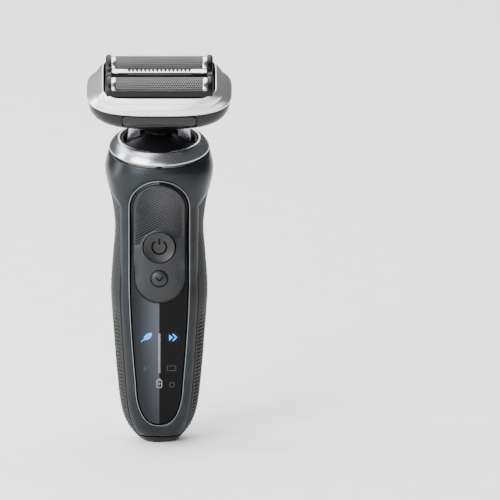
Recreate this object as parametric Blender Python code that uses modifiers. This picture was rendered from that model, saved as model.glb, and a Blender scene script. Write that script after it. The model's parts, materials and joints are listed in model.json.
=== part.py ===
"""Three-element foil shaver, built as separate pieces.

Metres in Blender, millimetres in the named sizes below. +Z runs up the handle, the front faces -Y.
The handle stands on a small flat face at the origin. Its top ring is tilted forward. The neck tilts
sideways about an axle in that ring, and the head tilts about an axle in the neck.
"""
import bpy
import bmesh
from math import sin, cos, pi, radians, asin, sqrt
from mathutils import Matrix, Vector

MM = 0.001

# Handle, overall
HANDLE_LENGTH = 124.8
HANDLE_WIDTH = 45.0
HANDLE_DEPTH = 41.6
SHELL_WALL = 1.8
REAR_WALL = 1.5
GRIP_WALL = 1.3
GAP = 0.3

# The neck ring is round, so it follows the slimmer way across the handle
COLLAR_MARGIN = 0.1
COLLAR_OUTER = min(HANDLE_WIDTH, HANDLE_DEPTH) / 2 + COLLAR_MARGIN
COLLAR_SHARE = 2 * COLLAR_OUTER / HANDLE_WIDTH
COLLAR_DEPTH_SHARE = 2 * COLLAR_OUTER / HANDLE_DEPTH

# Share of the length, of half the width, of half the depth in front and behind
FRONT_WAIST = 0.765
WAIST = 0.822
LOWER_WIDTH = 0.790
HANDLE_STATIONS = (
    (0.000, 0.290, 0.270, 0.270),
    (0.018, 0.420, 0.375, 0.375),
    (0.060, 0.600, 0.530, 0.530),
    (0.120, 0.712, 0.640, 0.655),
    (0.240, LOWER_WIDTH, 0.720, 0.770),
    (0.370, 0.845, FRONT_WAIST, 0.860),
    (0.520, 0.900, 0.805, 0.910),
    (0.640, 0.862, 0.780, 0.875),
    (0.740, WAIST, 0.775, 0.850),
    (0.830, 0.875, 0.840, 0.870),
    (0.895, 0.958, 0.925, 0.930),
    (0.945, 1.000, 0.990, 0.990),
    (1.000, COLLAR_SHARE, COLLAR_DEPTH_SHARE, COLLAR_DEPTH_SHARE),
)
BASE_TOP = 2.8
GRIP_START = 4.0
SHELL_ROWS = (
    (BASE_TOP + 2 * GAP) / HANDLE_LENGTH, 0.036, 0.050, 0.072, 0.10, 0.15, 0.22, 0.31, 0.41,
    0.52, 0.62, 0.70, 0.77, 0.83, 0.88, 0.92, 0.96, 1.0,
)
BODY_POWER = 2.4
BODY_ROUND_START = 0.8
COLLAR_TILT = radians(10.0)
TILT_START = 0.72
SEAM_SHARE = 0.80
SEAM_RISE_START = 0.80
SEAM_RISE_END = 0.89
SEAM_GAP = 0.5
GRIP_BOTTOM = GRIP_START / HANDLE_LENGTH
GRIP_TOP = 0.905

# Window, pad and buttons. Heights are from the foot of the handle, margins from the edge named
BUTTON_TRAVEL = 0.6
BUTTON_GAP = 0.3
BUTTON_PROUD = 0.6
BUTTON_LAND = 3.2
POWER_BELOW_TOP = 38.0
POWER_RADIUS = 6.65
MODE_RADIUS = 3.45
WINDOW_TOP_MARGIN = 8.8
WINDOW_BOTTOM = 8.6
WINDOW_BORDER = 2.0
WINDOW_LOW_BORDER = 4.0
WINDOW_TAPER_END = 27.0
WINDOW_DEPTH = 1.4
WINDOW_INSET = 0.15
TRIM_WIDTH = 0.5
TRIM_PROUD = 0.1
PAD_TOP_MARGIN = 1.8
PAD_SIDE_MARGIN = 2.35
PAD_PROUD = 0.7
WINDOW_TOP = HANDLE_LENGTH - WINDOW_TOP_MARGIN
WINDOW_HALF_WIDTH = SEAM_SHARE * WAIST * HANDLE_WIDTH / 2 - WINDOW_BORDER
WINDOW_LOW_HALF_WIDTH = SEAM_SHARE * LOWER_WIDTH * HANDLE_WIDTH / 2 - WINDOW_LOW_BORDER
POWER_HEIGHT = HANDLE_LENGTH - POWER_BELOW_TOP
MODE_HEIGHT = POWER_HEIGHT - POWER_RADIUS - MODE_RADIUS - BUTTON_LAND
PAD_TOP = WINDOW_TOP - PAD_TOP_MARGIN
PAD_HALF_WIDTH = WINDOW_HALF_WIDTH - PAD_SIDE_MARGIN
PAD_BOTTOM = MODE_HEIGHT - PAD_HALF_WIDTH
WINDOW_TAPER_START = MODE_HEIGHT - 1.5

# Cutting prisms for the front run between these depths
FRONT_REACH = -HANDLE_DEPTH
FRONT_BACK = -6.0

# Inlet at the lower back
INLET_HEIGHT = 13.0
INLET_HALF_WIDTH = 4.7
INLET_HALF_HEIGHT = 3.0
INLET_DEPTH = 7.0
INLET_RECESS_DEPTH = 5.2
INLET_WALL = 0.8
INLET_PIN_RADIUS = 0.6
INLET_PIN_SPREAD = 2.2

# Small screws, shared by the board and the motor mount
SCREW_RADIUS = 0.9
SCREW_HEAD_RADIUS = 1.6
SCREW_HEAD_HEIGHT = 1.0

# Inside the handle
MOTOR_RADIUS = 9.5
MOTOR_LENGTH = 18.0
MOTOR_TOP_MARGIN = 13.8
MOTOR_BOTTOM = HANDLE_LENGTH - MOTOR_TOP_MARGIN - MOTOR_LENGTH
MOUNT_CLEARANCE = 4.5
MOUNT_RADIUS = min(HANDLE_WIDTH, HANDLE_DEPTH) / 2 - SHELL_WALL - MOUNT_CLEARANCE
MOUNT_THICKNESS = 1.6
MOUNT_SCREW_SPREAD = 6.6
SHAFT_RADIUS = 1.1
ECCENTRIC_RADIUS = 3.6
ECCENTRIC_OFFSET = 0.8
ECCENTRIC_THICKNESS = 1.4
SWITCH_HEIGHT = 2.0
SWITCH_SIZE = 6.0
BOARD_THICKNESS = 1.2
BOARD_FRONT = -(FRONT_WAIST * HANDLE_DEPTH / 2 - SHELL_WALL - SWITCH_HEIGHT - BUTTON_TRAVEL - 2 * GAP)
BOARD_BACK = BOARD_FRONT + BOARD_THICKNESS
BATTERY_RADIUS = 7.1
BATTERY_END_ROOM = 3.2
CHASSIS_WALL = 1.2
CHASSIS_SIDE_ROOM = 1.1
CHASSIS_HALF_WIDTH = BATTERY_RADIUS + CHASSIS_WALL + CHASSIS_SIDE_ROOM
CHASSIS_FRONT = BOARD_BACK + GAP
CHASSIS_BACK = CHASSIS_FRONT + 2 * BATTERY_RADIUS + 2 * GAP + CHASSIS_WALL
CHASSIS_BOTTOM = INLET_HEIGHT + INLET_HALF_HEIGHT + 10.0
CHASSIS_TOP = MOTOR_BOTTOM - 9.0
BATTERY_LENGTH = CHASSIS_TOP - CHASSIS_BOTTOM - 4 * CHASSIS_WALL - BATTERY_END_ROOM
BOARD_HALF_WIDTH = CHASSIS_HALF_WIDTH - 0.6
BOARD_BOTTOM = CHASSIS_BOTTOM + 2.0
BOARD_TOP = POWER_HEIGHT + SWITCH_SIZE / 2 + 1.2
BOARD_SCREW_MARGIN = 2.0
GUIDE_BOTTOM = BOARD_BOTTOM + 5.0
GUIDE_TOP = PAD_BOTTOM - 4.0
GUIDE_HALF_WIDTH = 6.4

# Drive, from the eccentric up to the cutters
DRIVE_RADIUS = 1.2
DRIVE_TRAVEL = 0.8
DRIVE_ROOM = DRIVE_RADIUS + DRIVE_TRAVEL + GAP
BRIDGE_PLAY = 1.3

# Collar and neck, heights along the tilted axis from the lip of the collar
COLLAR_RISE = 5.2
COLLAR_SLOPE = 3.8
LIP_RADIUS = COLLAR_OUTER - COLLAR_SLOPE
LIP_WIDTH = 1.0
SEAL_WIDTH = 0.8
SEAL_OUTER = LIP_RADIUS - LIP_WIDTH - GAP
SEAL_INNER = SEAL_OUTER - SEAL_WIDTH
DOME_RIM = SEAL_INNER - GAP
DOME_RISE = 2.6
DOME_DROP = 1.9
DOME_WALL = 1.2
ROLL_AXIS_DEPTH = 8.0
ROLL_LIMIT = radians(10.0)
DOME_HOLE = DRIVE_ROOM + (ROLL_AXIS_DEPTH + DOME_RISE) * sin(ROLL_LIMIT)
ROLL_PIN_RADIUS = 1.5
PIVOT_RISE = 15.8
LEG_SEAL_MARGIN = 1.6
LEG_LEAN = 2.2
LEG_THICKNESS = 3.6
LEG_OUTER_LOW = SEAL_INNER - LEG_SEAL_MARGIN
LEG_OUTER_TOP = LEG_OUTER_LOW - LEG_LEAN
LEG_INNER = LEG_OUTER_TOP - LEG_THICKNESS
LEG_HALF_DEPTH = 2.6
BOOT_RADIUS = LEG_INNER - 0.6
BOOT_GAP = 1.2
BOOT_HEAD_ROOM = 6.6
BOOT_RISE = PIVOT_RISE - DOME_RISE - BOOT_GAP - BOOT_HEAD_ROOM
CARRIER_HALF_WIDTH = LEG_OUTER_LOW - 1.0
CARRIER_HALF_DEPTH = 4.2
CARRIER_TOP = 2.4
CARRIER_BOTTOM = -2.6
BRACKET_INNER = CARRIER_HALF_WIDTH + 2.5
BRACKET_OUTER = BRACKET_INNER + 2.1
BRACKET_HALF_HEIGHT = 2.9
ROLL_PIN_LENGTH = BRACKET_OUTER - 3.0

# Head, heights from the tilt axle, square to the top of the head
HEAD_TILT = radians(22.0)
HEAD_HALF_WIDTH = 30.0
HEAD_POWER = 3.0
RIM_HALF_WIDTH = 6.9
RIM_HALF_DEPTH = 3.6
FOIL_CENTRE = 12.0
FOIL_RADIUS = 4.6
FOIL_SHEET = 0.35
FOIL_SKIRT = 3.0
TRIMMER_HALF_DEPTH = 1.7
HOLDER_BOTTOM = 6.3
HOLDER_WALL = 1.1
HOLDER_CORNER = 3.0
HOLDER_END = 2.3
HOLDER_SIDE_ROOM = 0.9
HOLDER_HALF_DEPTH = FOIL_RADIUS + HOLDER_WALL
ELEMENT_SPACING = HOLDER_HALF_DEPTH + TRIMMER_HALF_DEPTH + 0.35
OPENING_POWER = 9.0
OPENING_HALF_WIDTH = HEAD_HALF_WIDTH - RIM_HALF_WIDTH
OPENING_HALF_DEPTH = ELEMENT_SPACING + HOLDER_HALF_DEPTH + 0.55
HEAD_HALF_DEPTH = OPENING_HALF_DEPTH + RIM_HALF_DEPTH
HOLDER_HALF_WIDTH = OPENING_HALF_WIDTH - HOLDER_SIDE_ROOM
HOLDER_INSIDE = HOLDER_HALF_WIDTH - HOLDER_END
CUTTER_RADIUS = FOIL_RADIUS - FOIL_SHEET - 0.35
CUTTER_HALF_WIDTH = HOLDER_INSIDE - DRIVE_TRAVEL - 3 * GAP
CUTTER_SKIRT = 3.6
POST_RADIUS = 1.1
RIM_HEIGHT = 11.8
RIM_LIP = 2.2
RIM_END_RISE = 1.3
RIM_RISE_START = 0.6
FRAME_BOTTOM = 4.5
BASE_BOTTOM = -3.6
TRAY_POWER = 6.0
TRAY_HALF_WIDTH = OPENING_HALF_WIDTH + 1.7
TRAY_HALF_DEPTH = OPENING_HALF_DEPTH + 1.6
TRAY_BOTTOM = 3.3
TRAY_FLOOR = 1.2
TRAY_TOP = 9.2
BASE_FLOOR = TRAY_BOTTOM - GAP
PANEL_HALF_WIDTH = 15.0
PANEL_BOTTOM = -0.4
PANEL_TOP = BASE_FLOOR - 0.6
PANEL_PROUD = 0.3
PANEL_DEPTH = 1.8
RELEASE_TRAVEL = 1.0
PIVOT_PIN_RADIUS = 1.2
BRIDGE_HALF = 3.2
BRIDGE_ARM_HALF = 2.0
BRIDGE_REACH = ELEMENT_SPACING + 1.8
PIN_INNER = LEG_INNER - 2.0
PIN_OUTER = LEG_OUTER_TOP + 2.4
TONGUE_HALF = 1.0
TONGUE_TOP = 10.4
SPRING_RADIUS = 2.2
SPRING_WIRE = 0.22
SPRING_TURNS = 3

# Colours as red, green, blue, then roughness and metallic
GRAPHITE = (0.055, 0.061, 0.067, 0.38, 0.5)
BLACK_PLASTIC = (0.012, 0.013, 0.014, 0.45, 0.0)
RUBBER = (0.022, 0.023, 0.024, 0.8, 0.0)
GLOSS_BLACK = (0.004, 0.004, 0.005, 0.08, 0.0)
SOFT_GREY = (0.085, 0.088, 0.09, 0.65, 0.0)
SILVER = (0.62, 0.63, 0.65, 0.25, 1.0)
STEEL = (0.5, 0.5, 0.5, 0.3, 1.0)
GOLD = (0.7, 0.5, 0.2, 0.3, 1.0)
BOARD_GREEN = (0.02, 0.12, 0.05, 0.5, 0.0)
CELL_BLUE = (0.03, 0.09, 0.25, 0.4, 0.0)
MILKY = (0.7, 0.75, 0.8, 0.4, 0.0)
PALE_PLASTIC = (0.6, 0.6, 0.58, 0.5, 0.0)


# ---------------------------------------------------------------- tools

def clear_scene():
    for item in list(bpy.data.objects):
        bpy.data.objects.remove(item, do_unlink=True)


def make_collection(name):
    group = bpy.data.collections.new(name)
    bpy.context.scene.collection.children.link(group)
    return group


def make_material(name, look):
    red, green, blue, roughness, metallic = look
    material = bpy.data.materials.new(name)
    material.use_nodes = True
    shader = material.node_tree.nodes["Principled BSDF"]
    shader.inputs["Base Color"].default_value = (red, green, blue, 1.0)
    shader.inputs["Roughness"].default_value = roughness
    shader.inputs["Metallic"].default_value = metallic
    return material


def add_object(name, mesh, look, parent):
    piece = bpy.data.objects.new(name, mesh)
    PARTS.objects.link(piece)
    piece.data.materials.append(make_material(name + "_material", look))
    piece.parent = parent
    return piece


def add_cutter(mesh, parent):
    cutter = bpy.data.objects.new("cut_shape", mesh)
    CUTTERS.objects.link(cutter)
    cutter.hide_render = True
    cutter.display_type = "WIRE"
    cutter.parent = parent
    return cutter


def boolean(piece, cutter, operation):
    modifier = piece.modifiers.new(operation.lower(), "BOOLEAN")
    modifier.operation = operation
    modifier.object = cutter


def cut(piece, mesh, parent):
    boolean(piece, add_cutter(mesh, parent), "DIFFERENCE")


def unite(piece, mesh, parent):
    boolean(piece, add_cutter(mesh, parent), "UNION")


def smooth(mesh, angle=35.0):
    mesh.shade_smooth()
    mesh.set_sharp_from_angle(angle=radians(angle))


def mesh_from(bm, name="shape"):
    bmesh.ops.recalc_face_normals(bm, faces=bm.faces)
    mesh = bpy.data.meshes.new(name)
    bm.to_mesh(mesh)
    bm.free()
    return mesh


def empty(name, place, parent=None, tilt=0.0):
    point = bpy.data.objects.new(name, None)
    PARTS.objects.link(point)
    point.location = Vector(place) * MM
    point.rotation_euler = (tilt, 0.0, 0.0)
    point.parent = parent
    return point


def box_mesh(low, high, bevel=0.0):
    low, high = Vector(low), Vector(high)
    size = (high - low) * MM
    bm = bmesh.new()
    place = Matrix.Translation((low + high) * MM / 2) @ Matrix.Diagonal((*size, 1.0))
    bmesh.ops.create_cube(bm, size=1.0, matrix=place)
    if bevel:
        bmesh.ops.bevel(bm, geom=bm.edges[:], offset=bevel * MM, segments=2, profile=0.5,
                        affect="EDGES", material=-1)
    return mesh_from(bm)


AXES = {
    "X": Matrix.Rotation(pi / 2, 4, "Y"),
    "Y": Matrix.Rotation(-pi / 2, 4, "X"),
    "Z": Matrix.Identity(4),
}


def rod_mesh(start, length, radius, axis, sides=20):
    """A cylinder that runs from start for its length along one axis."""
    bm = bmesh.new()
    middle = Matrix.Translation((0, 0, length * MM / 2))
    place = Matrix.Translation(Vector(start) * MM) @ AXES[axis] @ middle
    bmesh.ops.create_cone(bm, cap_ends=True, segments=sides, radius1=radius * MM, radius2=radius * MM,
                          depth=length * MM, matrix=place)
    mesh = mesh_from(bm)
    smooth(mesh)
    return mesh


def turned(name, profile, look, parent, steps=40):
    """A solid turned about Z from a profile that runs down its outer side, and back up if it is a ring."""
    mesh = bpy.data.meshes.new(name)
    points = [(radius * MM, 0.0, height * MM) for radius, height in profile]
    ring = all(radius > 0 for radius, height in profile)
    count = len(points)
    edges = [(i, (i + 1) % count) for i in range(count if ring else count - 1)]
    mesh.from_pydata(points, edges, [])
    piece = add_object(name, mesh, look, parent)
    screw = piece.modifiers.new("turn", "SCREW")
    screw.steps = steps
    screw.render_steps = steps
    screw.use_merge_vertices = True
    screw.merge_threshold = 0.00001
    screw.use_smooth_shade = True
    return piece


def loft_mesh(rings, wrap_rings=False, wrap_points=True, caps=True):
    """A skin over rings that all have the same number of points."""
    bm = bmesh.new()
    rows = [[bm.verts.new(Vector(point) * MM) for point in ring] for ring in rings]
    count = len(rings[0])
    ring_steps = len(rows) if wrap_rings else len(rows) - 1
    point_steps = count if wrap_points else count - 1
    for r in range(ring_steps):
        here, there = rows[r], rows[(r + 1) % len(rows)]
        for p in range(point_steps):
            q = (p + 1) % count
            bm.faces.new((here[p], here[q], there[q], there[p]))
    if caps:
        bm.faces.new(list(reversed(rows[0])))
        bm.faces.new(rows[-1])
    mesh = mesh_from(bm)
    smooth(mesh)
    return mesh


def sheet_mesh(rings):
    """An open skin whose faces point away from the handle's or head's centre."""
    bm = bmesh.new()
    rows = [[bm.verts.new(Vector(point) * MM) for point in ring] for ring in rings]
    for here, there in zip(rows, rows[1:]):
        for p in range(len(here) - 1):
            bm.faces.new((here[p], here[p + 1], there[p + 1], there[p]))
    mesh = bpy.data.meshes.new("sheet")
    bm.to_mesh(mesh)
    bm.free()
    smooth(mesh)
    return mesh


def thicken(piece, thickness):
    solid = piece.modifiers.new("wall", "SOLIDIFY")
    solid.thickness = thickness * MM
    solid.offset = -1.0
    solid.use_even_offset = True


def prism_mesh(outline, low, high, axis="Y"):
    """A flat outline, as (across, up) points, extruded along Y, X or Z."""
    if axis == "Y":
        rings = [[(a, level, b) for a, b in outline] for level in (low, high)]
    elif axis == "X":
        rings = [[(level, a, b) for a, b in outline] for level in (low, high)]
    else:
        rings = [[(a, b, level) for a, b in outline] for level in (low, high)]
    return loft_mesh(rings)


def signed_power(value, power):
    return abs(value) ** power * (1 if value >= 0 else -1)


def superellipse(half_x, half_y, power, count):
    points = []
    for i in range(count):
        turn = 2 * pi * i / count
        across = half_x * signed_power(sin(turn), 2 / power)
        back = -half_y * signed_power(cos(turn), 2 / power)
        points.append((across, back))
    return points


def rounded_box(half_x, half_y, radius, arc_steps=4):
    points = []
    corners = ((1, -1, -pi / 2), (1, 1, 0.0), (-1, 1, pi / 2), (-1, -1, pi))
    for side_x, side_y, start in corners:
        for i in range(arc_steps + 1):
            turn = start + pi / 2 * i / arc_steps
            x = side_x * (half_x - radius) + radius * cos(turn)
            y = side_y * (half_y - radius) + radius * sin(turn)
            points.append((x, y))
    return points


# ---------------------------------------------------------------- handle surface

def blend_steps(value, start, end):
    share = min(max((value - start) / (end - start), 0.0), 1.0)
    return share * share * (3 - 2 * share)


def station_value(share, column):
    """A smooth curve through the handle's stations."""
    stations = HANDLE_STATIONS
    last = len(stations) - 1
    place = max(i for i in range(last) if stations[i][0] <= share or i == 0)
    low, high = stations[place], stations[place + 1]
    span = high[0] - low[0]

    def slope(i):
        before, after = stations[max(i - 1, 0)], stations[min(i + 1, last)]
        return (after[column] - before[column]) / (after[0] - before[0])

    t = (share - low[0]) / span
    value = (2 * t ** 3 - 3 * t ** 2 + 1) * low[column] + (3 * t ** 2 - 2 * t ** 3) * high[column]
    value += (t ** 3 - 2 * t ** 2 + t) * span * slope(place) + (t ** 3 - t ** 2) * span * slope(place + 1)
    return value


def section(share):
    half_width = station_value(share, 1) * HANDLE_WIDTH / 2
    front = station_value(share, 2) * HANDLE_DEPTH / 2
    rear = station_value(share, 3) * HANDLE_DEPTH / 2
    return half_width, front, rear


def flare(share):
    """How much longer a level step inwards is than a step square to the surface."""
    step = 0.004
    low, high = max(share - step, 0.0), min(share + step, 1.0)
    slope = (section(high)[0] - section(low)[0]) / ((high - low) * HANDLE_LENGTH)
    return sqrt(1 + slope * slope)


def skin_point(share, turn, inset=0.0):
    """A point on the handle's surface: turn is 0 at the front and a quarter turn at the right side."""
    half_width, front, rear = section(share)
    inset = inset * flare(share)
    power = BODY_POWER + (2.0 - BODY_POWER) * blend_steps(share, BODY_ROUND_START, 1.0)
    depth = front if cos(turn) > 0 else rear
    x = (half_width - inset) * signed_power(sin(turn), 2 / power)
    y = -(depth - inset) * signed_power(cos(turn), 2 / power)
    lean = blend_steps(share, TILT_START, 1.0) * sin(COLLAR_TILT) / cos(COLLAR_TILT)
    return x, y, share * HANDLE_LENGTH + y * lean


def front_depth(height):
    return section(height / HANDLE_LENGTH)[1]


def rear_depth(height):
    return section(height / HANDLE_LENGTH)[2]


def seam_turn(share):
    ratio = SEAM_SHARE + (1.0 - SEAM_SHARE) * blend_steps(share, SEAM_RISE_START, SEAM_RISE_END)
    return asin(min(ratio ** (BODY_POWER / 2), 1.0))


def seam_gap(share):
    """Half the seam's gap as a turn. Where the handle closes in to the collar, the walls lean together."""
    half_width, front, rear = section(share)
    lean = flare(share) if share > SEAM_RISE_END else 1.0
    return SEAM_GAP / 2 * lean / min(half_width, front)


def front_sheet(steps=14):
    rings = []
    for share in SHELL_ROWS:
        reach = seam_turn(share) - seam_gap(share)
        turns = [reach * (2 * i / steps - 1) for i in range(steps + 1)]
        rings.append([skin_point(share, turn) for turn in turns])
    return sheet_mesh(rings)


def rear_sheet(rows, steps=16):
    rings = []
    for share, inset in rows:
        start = seam_turn(share) + seam_gap(share)
        turns = [start + (2 * pi - 2 * start) * i / steps for i in range(steps + 1)]
        rings.append([skin_point(share, turn, inset) for turn in turns])
    return sheet_mesh(rings)


# ---------------------------------------------------------------- outlines on the front

def window_outline(margin=0.0):
    """Round at the top, straight sides, then narrowing to a rounded lower end."""
    half = WINDOW_HALF_WIDTH + margin
    low_half = WINDOW_LOW_HALF_WIDTH + margin
    centre = WINDOW_TOP - WINDOW_HALF_WIDTH
    bottom = WINDOW_BOTTOM - margin
    right = [(half * sin(pi / 2 * i / 10), centre + half * cos(pi / 2 * i / 10)) for i in range(11)]
    for i in range(7):
        share = i / 6
        height = WINDOW_TAPER_START + (WINDOW_TAPER_END - WINDOW_TAPER_START) * share
        right.append((half + (low_half - half) * share ** 1.6, height))
    for i in range(1, 8):
        turn = pi / 2 * i / 7
        height = WINDOW_TAPER_END - (WINDOW_TAPER_END - bottom) * sin(turn)
        right.append((low_half * cos(turn) ** 0.8, height))
    right[-1] = (0.0, bottom)
    left = [(-x, height) for x, height in reversed(right[1:-1])]
    return right + left


def capsule_outline(half_width, low, high, steps=10):
    points = []
    for i in range(steps + 1):
        turn = pi * i / steps
        points.append((-half_width * cos(turn), high - half_width + half_width * sin(turn)))
    for i in range(steps + 1):
        turn = pi * i / steps
        points.append((half_width * cos(turn), low + half_width - half_width * sin(turn)))
    return points


def circle_outline(radius, height, sides=28):
    turns = [2 * pi * i / sides for i in range(sides)]
    return [(radius * sin(turn), height + radius * cos(turn)) for turn in turns]


def front_prism(outline):
    return prism_mesh(outline, FRONT_REACH, FRONT_BACK)


# ---------------------------------------------------------------- handle pieces

def make_shells():
    front = add_object("front_shell", front_sheet(), GRAPHITE, None)
    thicken(front, SHELL_WALL)
    cut(front, front_prism(window_outline()), None)
    under = GRIP_WALL + GAP
    rows = [(share, under) for share in SHELL_ROWS if share < GRIP_TOP]
    step = 2 * GAP / HANDLE_LENGTH
    rows += [(GRIP_TOP + step, under), (GRIP_TOP + 2 * step, 0.0)]
    rows += [(share, 0.0) for share in SHELL_ROWS if share > GRIP_TOP + 3 * step]
    rear = add_object("rear_shell", rear_sheet(rows), GRAPHITE, None)
    thicken(rear, REAR_WALL)
    between = [(share, 0.0) for share in SHELL_ROWS if GRIP_BOTTOM < share < GRIP_TOP]
    rows = [(GRIP_BOTTOM, 0.0)] + between + [(GRIP_TOP, 0.0)]
    grip = add_object("rear_grip", rear_sheet(rows), RUBBER, None)
    thicken(grip, GRIP_WALL)
    opening = box_mesh(
        (-INLET_HALF_WIDTH - GAP, 0.0, INLET_HEIGHT - INLET_HALF_HEIGHT - GAP),
        (INLET_HALF_WIDTH + GAP, HANDLE_DEPTH, INLET_HEIGHT + INLET_HALF_HEIGHT + GAP),
    )
    cut(rear, opening, None)
    cut(grip, opening, None)


def make_base_cap():
    top = BASE_TOP / HANDLE_LENGTH
    shares = (0.0, 0.25 * top, 0.6 * top, top)
    count = 32
    rings = [[skin_point(share, 2 * pi * i / count) for i in range(count)] for share in shares]
    add_object("base_cap", loft_mesh(rings), BLACK_PLASTIC, None)


def make_inlet():
    back = rear_depth(INLET_HEIGHT - INLET_HALF_HEIGHT) - 2 * GAP
    low = (-INLET_HALF_WIDTH, back - INLET_DEPTH, INLET_HEIGHT - INLET_HALF_HEIGHT)
    high = (INLET_HALF_WIDTH, back, INLET_HEIGHT + INLET_HALF_HEIGHT)
    socket = add_object("inlet_socket", box_mesh(low, high), BLACK_PLASTIC, None)
    hollow = capsule_across(INLET_HALF_WIDTH - INLET_WALL, INLET_HALF_HEIGHT - INLET_WALL, INLET_HEIGHT)
    cut(socket, prism_mesh(hollow, back - INLET_RECESS_DEPTH, back + 2.0), None)
    for side, name in ((-1, "inlet_pin_left"), (1, "inlet_pin_right")):
        start = (side * INLET_PIN_SPREAD, back - INLET_RECESS_DEPTH + GAP, INLET_HEIGHT)
        pin = rod_mesh(start, INLET_RECESS_DEPTH - 2 * INLET_WALL, INLET_PIN_RADIUS, "Y", 12)
        add_object(name, pin, GOLD, None)


def capsule_across(half_width, radius, height, steps=8):
    points = []
    for side, start in ((1, -pi / 2), (-1, pi / 2)):
        for i in range(steps + 1):
            turn = start + pi * i / steps
            points.append((side * (half_width - radius) + radius * cos(turn), height + radius * sin(turn)))
    return points


def front_patch(name, look, outset, thickness, outline):
    """A piece that follows the front surface inside an outline."""
    rings = []
    steps = 14
    for share in SHELL_ROWS:
        turns = [1.05 * (2 * i / steps - 1) for i in range(steps + 1)]
        rings.append([skin_point(share, turn, -outset) for turn in turns])
    piece = add_object(name, sheet_mesh(rings), look, None)
    thicken(piece, thickness)
    boolean(piece, add_cutter(front_prism(outline), None), "INTERSECT")
    return piece


def make_window():
    pad_outline = capsule_outline(PAD_HALF_WIDTH, PAD_BOTTOM, PAD_TOP)
    pad_hole = capsule_outline(PAD_HALF_WIDTH + GAP, PAD_BOTTOM - GAP, PAD_TOP + GAP)
    trim = front_patch("window_trim", SILVER, TRIM_PROUD, SHELL_WALL, window_outline(-GAP))
    cut(trim, front_prism(window_outline(-GAP - TRIM_WIDTH)), None)
    window = front_patch("display_window", GLOSS_BLACK, -WINDOW_INSET, WINDOW_DEPTH,
                         window_outline(-2 * GAP - TRIM_WIDTH))
    cut(window, front_prism(pad_hole), None)
    pad = front_patch("button_pad", SOFT_GREY, PAD_PROUD, PAD_PROUD + SHELL_WALL, pad_outline)
    cut(pad, front_prism(circle_outline(POWER_RADIUS + BUTTON_GAP, POWER_HEIGHT)), None)
    cut(pad, front_prism(circle_outline(MODE_RADIUS + BUTTON_GAP, MODE_HEIGHT, 20)), None)


def button_back():
    return BOARD_FRONT - SWITCH_HEIGHT - BUTTON_TRAVEL - GAP


def make_button(name, radius, height, profile):
    """A button turned about a line through the front, its profile measured from its rim."""
    rim = -(front_depth(height) + PAD_PROUD + BUTTON_PROUD)
    stem = button_back() - rim
    stalk = [(radius, -2.2), (radius * 0.4, -2.2), (radius * 0.4, -stem), (0.0, -stem)]
    holder = empty(name + "_axis", (0.0, rim, height), None, pi / 2)
    turned(name, profile + stalk, SOFT_GREY, holder, 36)


def make_buttons():
    r = POWER_RADIUS
    dish = [(0.0, -0.9), (r * 0.35, -0.82), (r * 0.65, -0.55)]
    dish += [(r * 0.86, -0.12), (r * 0.93, 0.0), (r, -0.25)]
    make_button("power_button", POWER_RADIUS, POWER_HEIGHT, dish)
    r = MODE_RADIUS
    dome = [(0.0, 0.35), (r * 0.45, 0.28), (r * 0.8, 0.02), (r, -0.45)]
    make_button("mode_button", MODE_RADIUS, MODE_HEIGHT, dome)


def make_electronics():
    for name, height in (("power_switch", POWER_HEIGHT), ("mode_switch", MODE_HEIGHT)):
        half = SWITCH_SIZE / 2
        low = (-half, BOARD_FRONT - SWITCH_HEIGHT, height - half)
        high = (half, BOARD_FRONT - GAP, height + half)
        add_object(name, box_mesh(low, high), STEEL, None)
    low = (-BOARD_HALF_WIDTH, BOARD_FRONT, BOARD_BOTTOM)
    board = box_mesh(low, (BOARD_HALF_WIDTH, BOARD_BACK, BOARD_TOP))
    board = add_object("circuit_board", board, BOARD_GREEN, None)
    guide = box_mesh((-GUIDE_HALF_WIDTH, BOARD_FRONT - SWITCH_HEIGHT + 2 * GAP, GUIDE_BOTTOM),
                     (GUIDE_HALF_WIDTH, BOARD_FRONT - GAP, GUIDE_TOP))
    add_object("light_guide", guide, MILKY, None)
    wall = CHASSIS_WALL
    chassis = box_mesh((-CHASSIS_HALF_WIDTH, CHASSIS_FRONT, CHASSIS_BOTTOM),
                       (CHASSIS_HALF_WIDTH, CHASSIS_BACK, CHASSIS_TOP), 0.8)
    chassis = add_object("chassis", chassis, BLACK_PLASTIC, None)
    hollow = box_mesh((-CHASSIS_HALF_WIDTH + wall, CHASSIS_FRONT - 2 * wall, CHASSIS_BOTTOM + wall),
                      (CHASSIS_HALF_WIDTH - wall, CHASSIS_BACK - wall, CHASSIS_TOP - wall))
    cut(chassis, hollow, None)
    start = (0.0, CHASSIS_FRONT + GAP + BATTERY_RADIUS, CHASSIS_BOTTOM + 2 * wall)
    add_object("battery", rod_mesh(start, BATTERY_LENGTH, BATTERY_RADIUS, "Z", 28), CELL_BLUE, None)
    heights = (BOARD_BOTTOM + BOARD_SCREW_MARGIN, GUIDE_TOP + 2 * BOARD_SCREW_MARGIN)
    for name, height in zip(("board_screw_lower", "board_screw_upper"), heights):
        start = (0.0, BOARD_FRONT - 1.0, height)
        hole = rod_mesh(start, BOARD_THICKNESS + 2.0, SCREW_RADIUS + GAP, "Y", 12)
        cut(board, hole, None)
        holder = empty(name + "_axis", (0.0, BOARD_FRONT - GAP, height), None, pi / 2)
        turned(name, screw_profile(BOARD_THICKNESS), STEEL, holder, 12)


def screw_profile(grip):
    """A cheese-head screw: its head stands above zero and its shank reaches down through what it grips."""
    head, shank = SCREW_HEAD_RADIUS, SCREW_RADIUS
    over = [(0.0, SCREW_HEAD_HEIGHT), (head, SCREW_HEAD_HEIGHT), (head, 0.0)]
    return over + [(shank, 0.0), (shank, -grip), (0.0, -grip)]


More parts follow.
